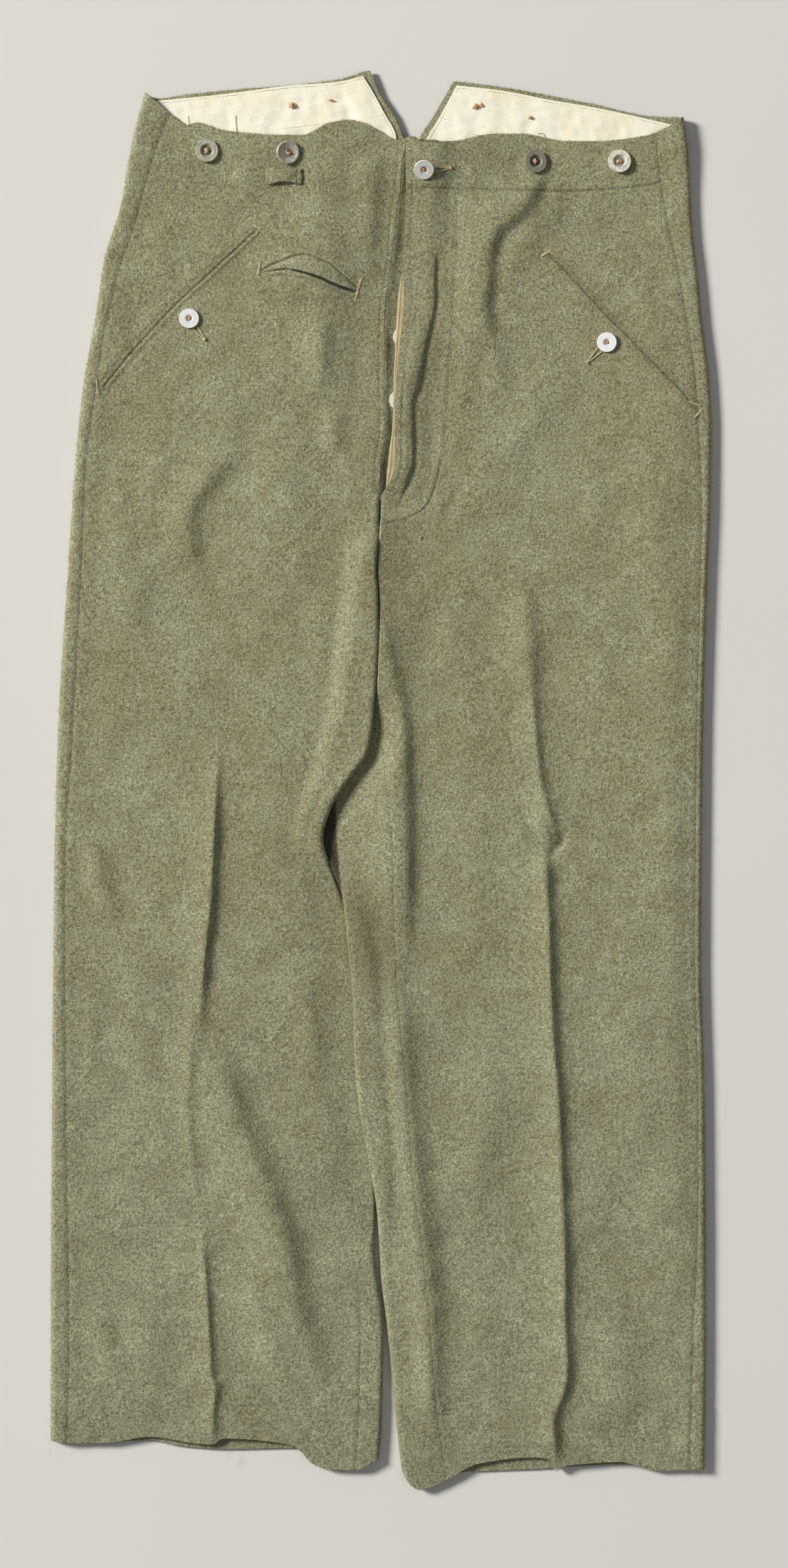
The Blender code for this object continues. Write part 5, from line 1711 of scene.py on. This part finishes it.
knot(rust_soup, (768, 167), lin_l, 2.4, 0.36, 84, 7)
knot(rust_soup, (846, 187), lin_l, 1.6, 0.4, 85, 7)
loose(seam_soup, ((303, 201), (301, 194), (300, 184)), lin_r, 0.15, 0.3, 86,
      0.15)
loose(seam_soup, ((378, 211), (377, 203), (376, 192), (377, 184)), lin_r,
      0.17, 0.3, 87, 0.2)
loose(seam_soup, ((756, 214), (764, 216), (772, 215)), lin_l, 0.15, 0.3, 88,
      0.2)
loose(seam_soup, ((858, 213), (866, 213), (871, 219)), lin_l, 0.15, 0.3, 89,
      0.2)
loose(tan_soup, ((362, 2312), (366, 2322), (360, 2331)), surf(right, -1.0),
      0.16, 0.4, 90)

# buttonholes beside their buttons
buttonhole(tan_soup, (690, 272), (719, 268.5), on_l, 91)
buttonhole(tan_soup, (310, 521), (327, 541), on_r, 92)
buttonhole(tan_soup, (957, 558), (937, 578), on_l, 93)


# -------------------------------------------------------------------- buttons
def button_mesh(kind):
    """One sewn-on button lying flat, its underside at z = 0 (mm)."""
    big = kind in ("rim", "dish")
    rad = (BRACE_D if big else SMALL_D) / 2
    if kind == "rim":
        prof = ((0, .9), (3.3, .9), (3.9, 1.05), (4.25, 1.9), (4.6, 2.25),
                (5.0, 2.35), (7.3, 2.3), (7.75, 2.42), (8.1, 2.36),
                (8.35, 2.0), (8.4, 1.4), (8.3, .5), (8.0, .1))
        ridge, r0, r1 = 0.05, 5.3, 7.2
    elif kind == "dish":
        prof = ((0, .9), (2.6, .95), (4.2, 1.15), (5.6, 1.6), (6.9, 2.2),
                (7.5, 2.45), (8.0, 2.4), (8.35, 2.0), (8.4, 1.3), (8.3, .5),
                (8.0, .1))
        ridge, r0, r1 = 0.0, 5.0, 7.0
    else:
        prof = ((0, .95), (1.75, .95), (2.0, 1.1), (2.25, 1.8), (2.6, 2.05),
                (3.1, 2.13), (6.3, 2.1), (6.7, 2.2), (6.95, 2.12), (7.17, 1.8),
                (7.2, 1.2), (7.1, .5), (6.8, .1))
        ridge, r0, r1 = 0.035, 3.9, 6.1
    prof = list(prof)
    # more rings over the rim
    fine = []
    for a, b in zip(prof[:-1], prof[1:]):
        n = 4 if b[0] - a[0] > 1.5 and a[0] > 2 else 1
        for k in range(n):
            fine.append((a[0] + (b[0] - a[0]) * k / n,
                         a[1] + (b[1] - a[1]) * k / n))
    fine.append(prof[-1])
    fine += [(rad - 1.2, 0.0), (rad - 1.6, 0.45), (3.0, 0.3), (0, 0.3)]
    seg = 96
    v, f, rings = [], [], []
    for r, z in fine:
        if r == 0:
            rings.append([len(v)])
            v.append((0, 0, z))
            continue
        rings.append(list(range(len(v), len(v) + seg)))
        for i in range(seg):
            a = math.tau * i / seg
            h = 0.0
            if ridge and z > 1 and r0 - 0.3 <= r <= r1:
                edge = math.sin(math.pi * min(max((r - r0) / (r1 - r0), 0), 1))
                h = ridge * math.cos(a * 24) * edge ** 0.4
            v.append((r * math.cos(a), r * math.sin(a), z + h))
    for a, b in zip(rings[:-1], rings[1:]):
        for i in range(seg):
            k = (i + 1) % seg
            if len(a) == 1:
                f.append([a[0], b[i], b[k]])
            elif len(b) == 1:
                f.append([a[i], b[0], a[k]])
            else:
                f.append([a[i], b[i], b[k], a[k]])
    # four through holes
    me = bpy.data.meshes.new("button_" + kind)
    me.from_pydata([tuple(c * MM for c in p) for p in v], [], f)
    me.update()
    ob = bpy.data.objects.new("button_" + kind, me)
    bpy.context.scene.collection.objects.link(ob)
    off, hole = (1.45, 0.72) if big else (0.95, 0.5)
    for i in range(4):
        a = math.pi / 4 + i * math.pi / 2
        bpy.ops.mesh.primitive_cylinder_add(
            vertices=20, radius=hole * MM, depth=4 * MM,
            location=(off * math.cos(a) * MM, off * math.sin(a) * MM, MM))
        c = bpy.context.object
        m = ob.modifiers.new("cut", "BOOLEAN")
        m.operation, m.object, m.solver = "DIFFERENCE", c, "EXACT"
        bpy.context.view_layer.objects.active = ob
        bpy.ops.object.modifier_apply(modifier=m.name)
        bpy.data.objects.remove(c)
    me = ob.data
    bpy.data.objects.remove(ob)
    me.shade_smooth()
    me.set_sharp_from_angle(angle=math.radians(32))
    # painted shade in the sunk centre and in a thin ring round its edge, under the rim
    c = np.zeros(len(me.vertices) * 3)
    me.vertices.foreach_get("co", c)
    c = c.reshape(-1, 3) / MM
    r = np.hypot(c[:, 0], c[:, 1])
    well = {"rim": 4.3, "dish": 3.4, "small": 2.3}[kind]
    deep_by = 0.45 if kind == "small" else 0.62
    well_shade = deep_by * ease((well - r) / 0.7) + 0.15 * bell(r, well + 0.5, 0.4)
    me.attributes.new("dark", "FLOAT", "POINT").data.foreach_set(
        "value", well_shade.astype(np.float32))
    return me


def button_threads(kind, seed, stem=0.0):
    """Thread through the four holes, in the button's own frame, and the
    stem down to the cloth under a button that stands off it."""
    big = kind in ("rim", "dish")
    r = np.random.default_rng(seed)
    soup = Soup()
    off = (1.45 if big else 0.95) * math.sqrt(0.5)
    rad = 0.50 if big else 0.38
    lanes = [((-off, -off), (off, -off)), ((-off, off), (off, off)),
             ((-off, -off), (off, off)), ((off, -off), (-off, off))]
    top = 1.15
    for n, (a, b) in enumerate(lanes + lanes[2:] + lanes[:2]):
        t = np.linspace(0, 1, 9)
        j = r.normal(0, 0.30, 2)
        x = a[0] + (b[0] - a[0]) * t + j[0]
        y = a[1] + (b[1] - a[1]) * t + j[1]
        z = top + (0.25 + 0.12 * n) * np.sin(t * math.pi) ** 0.6
        z[0] = z[-1] = 0.2
        v, f = tube(np.column_stack([x, y + MID_Y, z]), rad, 6, 0.9)
        soup.add(v, f)
    for n in range(4 if stem > 0.9 else 0):
        t = np.linspace(0, 1, 7)
        a = 1.6 * n + 1.8 * t
        v, f = tube(np.column_stack([
            0.5 * np.cos(a), 0.5 * np.sin(a) + MID_Y,
            0.4 - (stem + 0.4) * t]), rad, 6, 0.9)
        soup.add(v, f)
    return soup


PROTO = {k: button_mesh(k) for k in ("rim", "dish", "small")}
BUTTONS = (  # node, kind, material, u, v, turn, tilt (deg), tilt axis (deg)
    ("brace_button_front_1", "rim", zinc_grey, 330, 241, 12, 3, 40),
    ("brace_button_front_2", "dish", zinc_grey, 458.5, 244, 50, 17, 62),
    ("brace_button_front_3", "rim", zinc_slate, 853, 258.6, 33, 15, 95),
    ("brace_button_front_4", "rim", zinc_mid, 988, 258, 71, 3, 200),
    ("waist_button", "small", zinc_pale, 676, 272, 20, 24, 8),
    ("pocket_button_right", "small", zinc_white, 301.5, 508, 5, 5, 100),
    ("pocket_button_left", "small", zinc_white, 968, 546, 40, 3, 300),
)


def seat(name, kind, material, x, y, z, turn, tilt, axis, down=False,
         stem=0.0):
    """Places a copy of a button and its thread; z is its underside."""
    m = Matrix.Translation(Vector((x, y - MID_Y, z)) * MM)
    ax = Vector((math.cos(math.radians(axis)), math.sin(math.radians(axis)),
                 0))
    m = m @ Matrix.Rotation(math.radians(tilt), 4, ax)
    if down:
        m = m @ Matrix.Rotation(math.pi, 4, "X")
    m = m @ Matrix.Rotation(math.radians(turn), 4, "Z")
    me = PROTO[kind].copy()
    me.transform(m)
    me.name = name
    me.materials.clear()
    me.materials.append(material)
    ob = bpy.data.objects.new(name + "_metal", me)
    bpy.context.scene.collection.objects.link(ob)
    pieces[name] = ob
    s = button_threads(kind, int(abs(x) * 7 + abs(y)), stem)
    t = s.build(name + "_thread",
                thread_gold if kind == "small" else thread_copper)
    t.data.transform(m)
    return t


sewn = []
for name, kind, material, u, v, turn, tilt, axis in BUTTONS:
    (x, y), = plan([(u, v)])
    s = right if x < 0 else left
    rad = (BRACE_D if kind != "small" else SMALL_D) / 2
    a = np.linspace(0, math.tau, 24, endpoint=False)
    px = np.concatenate([x + rad * .95 * np.cos(a), [x]])
    py = np.concatenate([y + rad * .95 * np.sin(a), [y]])
    ground = s.over(px, py)
    drop = np.sin(math.radians(tilt)) * (
        -np.sin(math.radians(axis)) * (px - x) + np.cos(math.radians(axis))
        * (py - y))
    z = float(np.max(ground - drop)) + 0.12
    z = max(z, float(ground[-1]) + 0.4)
    sewn.append(seat(name, kind, material, x, y, z, turn, tilt, axis,
                     stem=z - float(ground[-1]) + 0.3))
for i, (x, y) in enumerate(((23.0, 367), (15.9, 321), (13.1, 275),
                            (13.8, 232)), 1):
    sewn.append(seat("fly_button_%d" % i, "small", zinc_pale, x, y, 5.15,
                     17 * i, 0, 0))
for i, (x, y) in enumerate(((-64.5, 486), (76, 484)), 1):
    s = right if x < 0 else left
    base = float(s.under(np.array([x]), np.array([y]))[0])
    sewn.append(seat("brace_button_back_%d" % i, "rim", zinc_grey, x, y,
                     min(base - 0.05, 2.55), 30 * i, 0, 0, down=True))


# ----------------------------------------------------------------- loose fibre
def fibres(name, spots, heads, lengths, widths, seed, material):
    """Single hairs: thin three-sided tapers, each bent its own way.
    spots and heads are (n, 3) in mm."""
    r = np.random.default_rng(seed)
    n = len(spots)
    heads = heads / np.linalg.norm(heads, axis=1)[:, None]
    bend = r.normal(0, 1, (n, 3))
    bend -= (bend * heads).sum(1)[:, None] * heads
    bend /= np.linalg.norm(bend, axis=1)[:, None]
    amount = r.uniform(0.2, 1.0, n)
    side = np.cross(heads, bend)
    verts, faces = [], []
    ang = np.array([0, math.tau / 3, 2 * math.tau / 3])
    for k, t in enumerate((0.0, 0.35, 0.7, 1.0)):
        c = (spots + heads * (lengths * t)[:, None]
             + bend * (lengths * amount * t * t * 0.8)[:, None])
        w = widths * (1.0, 0.9, 0.6, 0.0)[k]
        if k < 3:
            for a in ang:
                verts.append(c + (bend * math.cos(a) + side * math.sin(a))
                             * w[:, None])
        else:
            verts.append(c)
    v = np.stack(verts, 1)                       # n x 10 x 3
    m = v.shape[1]
    quad = []
    for k in range(2):
        for i in range(3):
            j = (i + 1) % 3
            quad.append([k * 3 + i, k * 3 + j, k * 3 + 3 + j, k * 3 + 3 + i])
    tri = [[6, 7, 9], [7, 8, 9], [8, 6, 9], [2, 1, 0]]
    base = (np.arange(n) * m)[:, None]
    faces = ([list(q) for q in (np.array(quad)[None] + base[:, :, None]
                                ).reshape(-1, 4)]
             + [list(q) for q in (np.array(tri)[None] + base[:, :, None]
                                  ).reshape(-1, 3)])
    v = v.reshape(-1, 3)
    v = np.stack([v[:, 0], v[:, 1] - MID_Y, v[:, 2]], 1) * MM
    return to_object(name, v, faces, material, angle=180)


def surface_hairs(s, count, seed):
    """Short pale curls lying on one front."""
    r = np.random.default_rng(seed)
    y = r.uniform(-492, 455, count)
    x0, x1 = s.out(y), np.where(y > 185, 10.0, s.edge(y))
    t = r.uniform(0.02, 0.98, count)
    x = x0 + (x1 - x0) * t
    ok = y > s.hem[0](x) + 4
    if s.right:
        ok &= (x < s.edge(y) - 3)
    else:
        ok &= (x > np.where(y > 185, FLY_CUT(y), s.edge(y)) + 3)
    ok &= y < s.waist[0](x) - 3
    x, y = x[ok], y[ok]
    z = s.over(x, y) - 0.12
    n = len(x)
    a = r.uniform(0, math.tau, n)
    heads = np.stack([np.cos(a), np.sin(a), r.uniform(0.1, 0.5, n)], 1)
    return (np.stack([x, y, z], 1), heads, r.uniform(0.9, 2.6, n),
            r.uniform(0.05, 0.1, n))


def edge_hairs(s, count, seed):
    """Fuzz on the outlines: sides, waist edges and hems."""
    r = np.random.default_rng(seed)
    spots, heads = [], []
    n = count // 4
    y = r.uniform(-495, 480, n)                  # outer edge
    spots.append(np.stack([s.out(y), y, EDGE / 2 + r.uniform(-2, 3, n)], 1))
    heads.append(np.stack([-s.sgn * np.ones(n), r.normal(0, .5, n),
                           r.uniform(-.2, .9, n)], 1))
    for up, m in ((1, n), (0, n)):               # waist edges
        lo, hi = ((-168, 8) if s.right else (26, 217))
        x = r.uniform(lo, hi, m)
        k = s.waist[0 if up else 1]
        yy = k(x)
        z = (s.over(x, yy - 1) - 0.9) if up else (s.under(x, yy - 1) + 0.9)
        z = z + r.uniform(-.8, .8, m)
        if not up:
            v = (NOTCH_R if s.right else NOTCH_L)(yy)
            ok = (x < v - 1) if s.right else (x > v + 1)
            x, yy, z = x[ok], yy[ok], z[ok]
        spots.append(np.stack([x, yy - 0.2, z], 1))
        heads.append(np.stack([r.normal(0, .7, len(x)), np.ones(len(x)),
                               r.uniform(-.2, .8, len(x))], 1))
    for up in (1, 0):                            # hems
        lo, hi = ((-238, -3) if s.right else (17, 234))
        x = r.uniform(lo, hi, n // 2)
        yy = s.hem[0 if up else 1](x)
        z = (s.over(x, yy + 1) - 1) if up else (s.under(x, yy + 1) + 1)
        spots.append(np.stack([x, yy + 0.2, z + r.uniform(-.8, .8, n // 2)],
                              1))
        heads.append(np.stack([r.normal(0, .7, n // 2), -np.ones(n // 2),
                               r.uniform(0, .8, n // 2)], 1))
    # the notch edges, which stand out dark against the lining
    yy = r.uniform(466, 512, n // 2)
    v = (NOTCH_R if s.right else NOTCH_L)(yy)
    ok = (yy < s.waist[1](v))
    v, yy = v[ok], yy[ok]
    spots.append(np.stack([v, yy, s.under(v, yy) + r.uniform(.3, 1.8, len(v))],
                          1))
    heads.append(np.stack([s.sgn * np.ones(len(v)), r.normal(0, .5, len(v)),
                           r.uniform(-.1, .9, len(v))], 1))
    spots, heads = np.vstack(spots), np.vstack(heads)
    n = len(spots)
    return spots, heads, r.uniform(0.6, 2.0, n), r.uniform(0.05, 0.1, n)


def hair_material(name, a, b):
    p = Paint(name)
    base = p.blend(p.span(p.noise(260.0, 1.0), 0.4, 0.6), a, b)
    return p.finish(base, 0.8, sheen=0.1, specular=0.2)


hair_pale = hair_material("wool_hair_pale", tint(208, 202, 168),
                          tint(150, 150, 124))
hair_dark = hair_material("wool_hair_dark", tint(112, 112, 82),
                          tint(150, 146, 112))
extras = {}
for s, sd in ((right, 101), (left, 102)):
    extras["nap_" + s.name] = fibres("nap_" + s.name,
                                     *surface_hairs(s, 4200, sd), sd + 10,
                                     hair_pale)
    extras["fuzz_" + s.name] = fibres("fuzz_" + s.name,
                                      *edge_hairs(s, 3400, sd + 20), sd + 30,
                                      hair_dark)
threads = {"threads_tan": tan_soup.build("threads_tan", thread_tan),
           "threads_copper": rust_soup.build("threads_copper", thread_copper),
           "threads_olive": olive_soup.build("threads_olive", thread_olive),
           "threads_dark": seam_soup.build("threads_dark", thread_dark),
           "threads_lining": lining_soup.build("threads_lining",
                                               thread_lining)}


# --------------------------------------------------- floor, light and camera
def stage():
    paper = Paint("floor_pale")
    tone = paper.span(paper.noise(3.0, 2.0), 0.3, 0.7, 0.985, 1.0)
    col = paper.blend(1.0, tint(226, 224, 219), paper.grey(tone), "MULTIPLY")
    mat = paper.finish(col, 0.85, specular=0.2)
    bpy.ops.mesh.primitive_plane_add(size=8.0, location=(0, 0, -0.0003))
    floor = bpy.context.object
    floor.name = "floor"
    floor.data.materials.append(mat)

    def area(name, place, size, power, colour=(1, 1, 1)):
        data = bpy.data.lights.new(name, "AREA")
        data.shape, data.size, data.energy = "DISK", size, power
        data.color = colour
        ob = bpy.data.objects.new(name, data)
        bpy.context.scene.collection.objects.link(ob)
        ob.location = place
        ob.rotation_euler = (-Vector(place)).to_track_quat("-Z",
                                                           "Y").to_euler()
        return ob
    area("key", (-9.3, 3.9, 6.6), 3.2, 1830.0, (1.0, 0.98, 0.945))
    area("fill", (2.4, -0.8, 3.2), 2.4, 9.0, (0.97, 0.985, 1.0))
    world = bpy.data.worlds.new("studio")
    world.use_nodes = True
    bg = world.node_tree.nodes["Background"]
    bg.inputs["Color"].default_value = (0.95, 0.965, 1.0, 1.0)
    bg.inputs["Strength"].default_value = 0.18
    bpy.context.scene.world = world

    cam = bpy.data.cameras.new("camera")
    cam.type, cam.lens, cam.sensor_width = "PERSP", 100.0, 36.0
    cam.sensor_fit = "AUTO"
    cam.clip_start, cam.clip_end = 0.05, 50.0
    ob = bpy.data.objects.new("camera", cam)
    bpy.context.scene.collection.objects.link(ob)
    tall = 2500 * UNIT * MM
    cx = (1257 / 2 - 608) * UNIT * MM
    cy = ((1242.5 - 1250) * UNIT - MID_Y) * MM
    ob.location = (cx, cy, 0.0065 + tall * cam.lens / 36.0)
    ob.rotation_euler = (0, 0, 0)
    bpy.context.scene.camera = ob
    bpy.context.scene.view_settings.view_transform = "Standard"


stage()

# ------------------------------------------------------- each piece on the root body, its CAD part hidden
for node, ob in pieces.items():
    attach(ob, "root")
    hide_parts(node)
for ob in sewn + list(threads.values()):
    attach(ob, "root")
for ob in extras.values():
    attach(ob, "root")
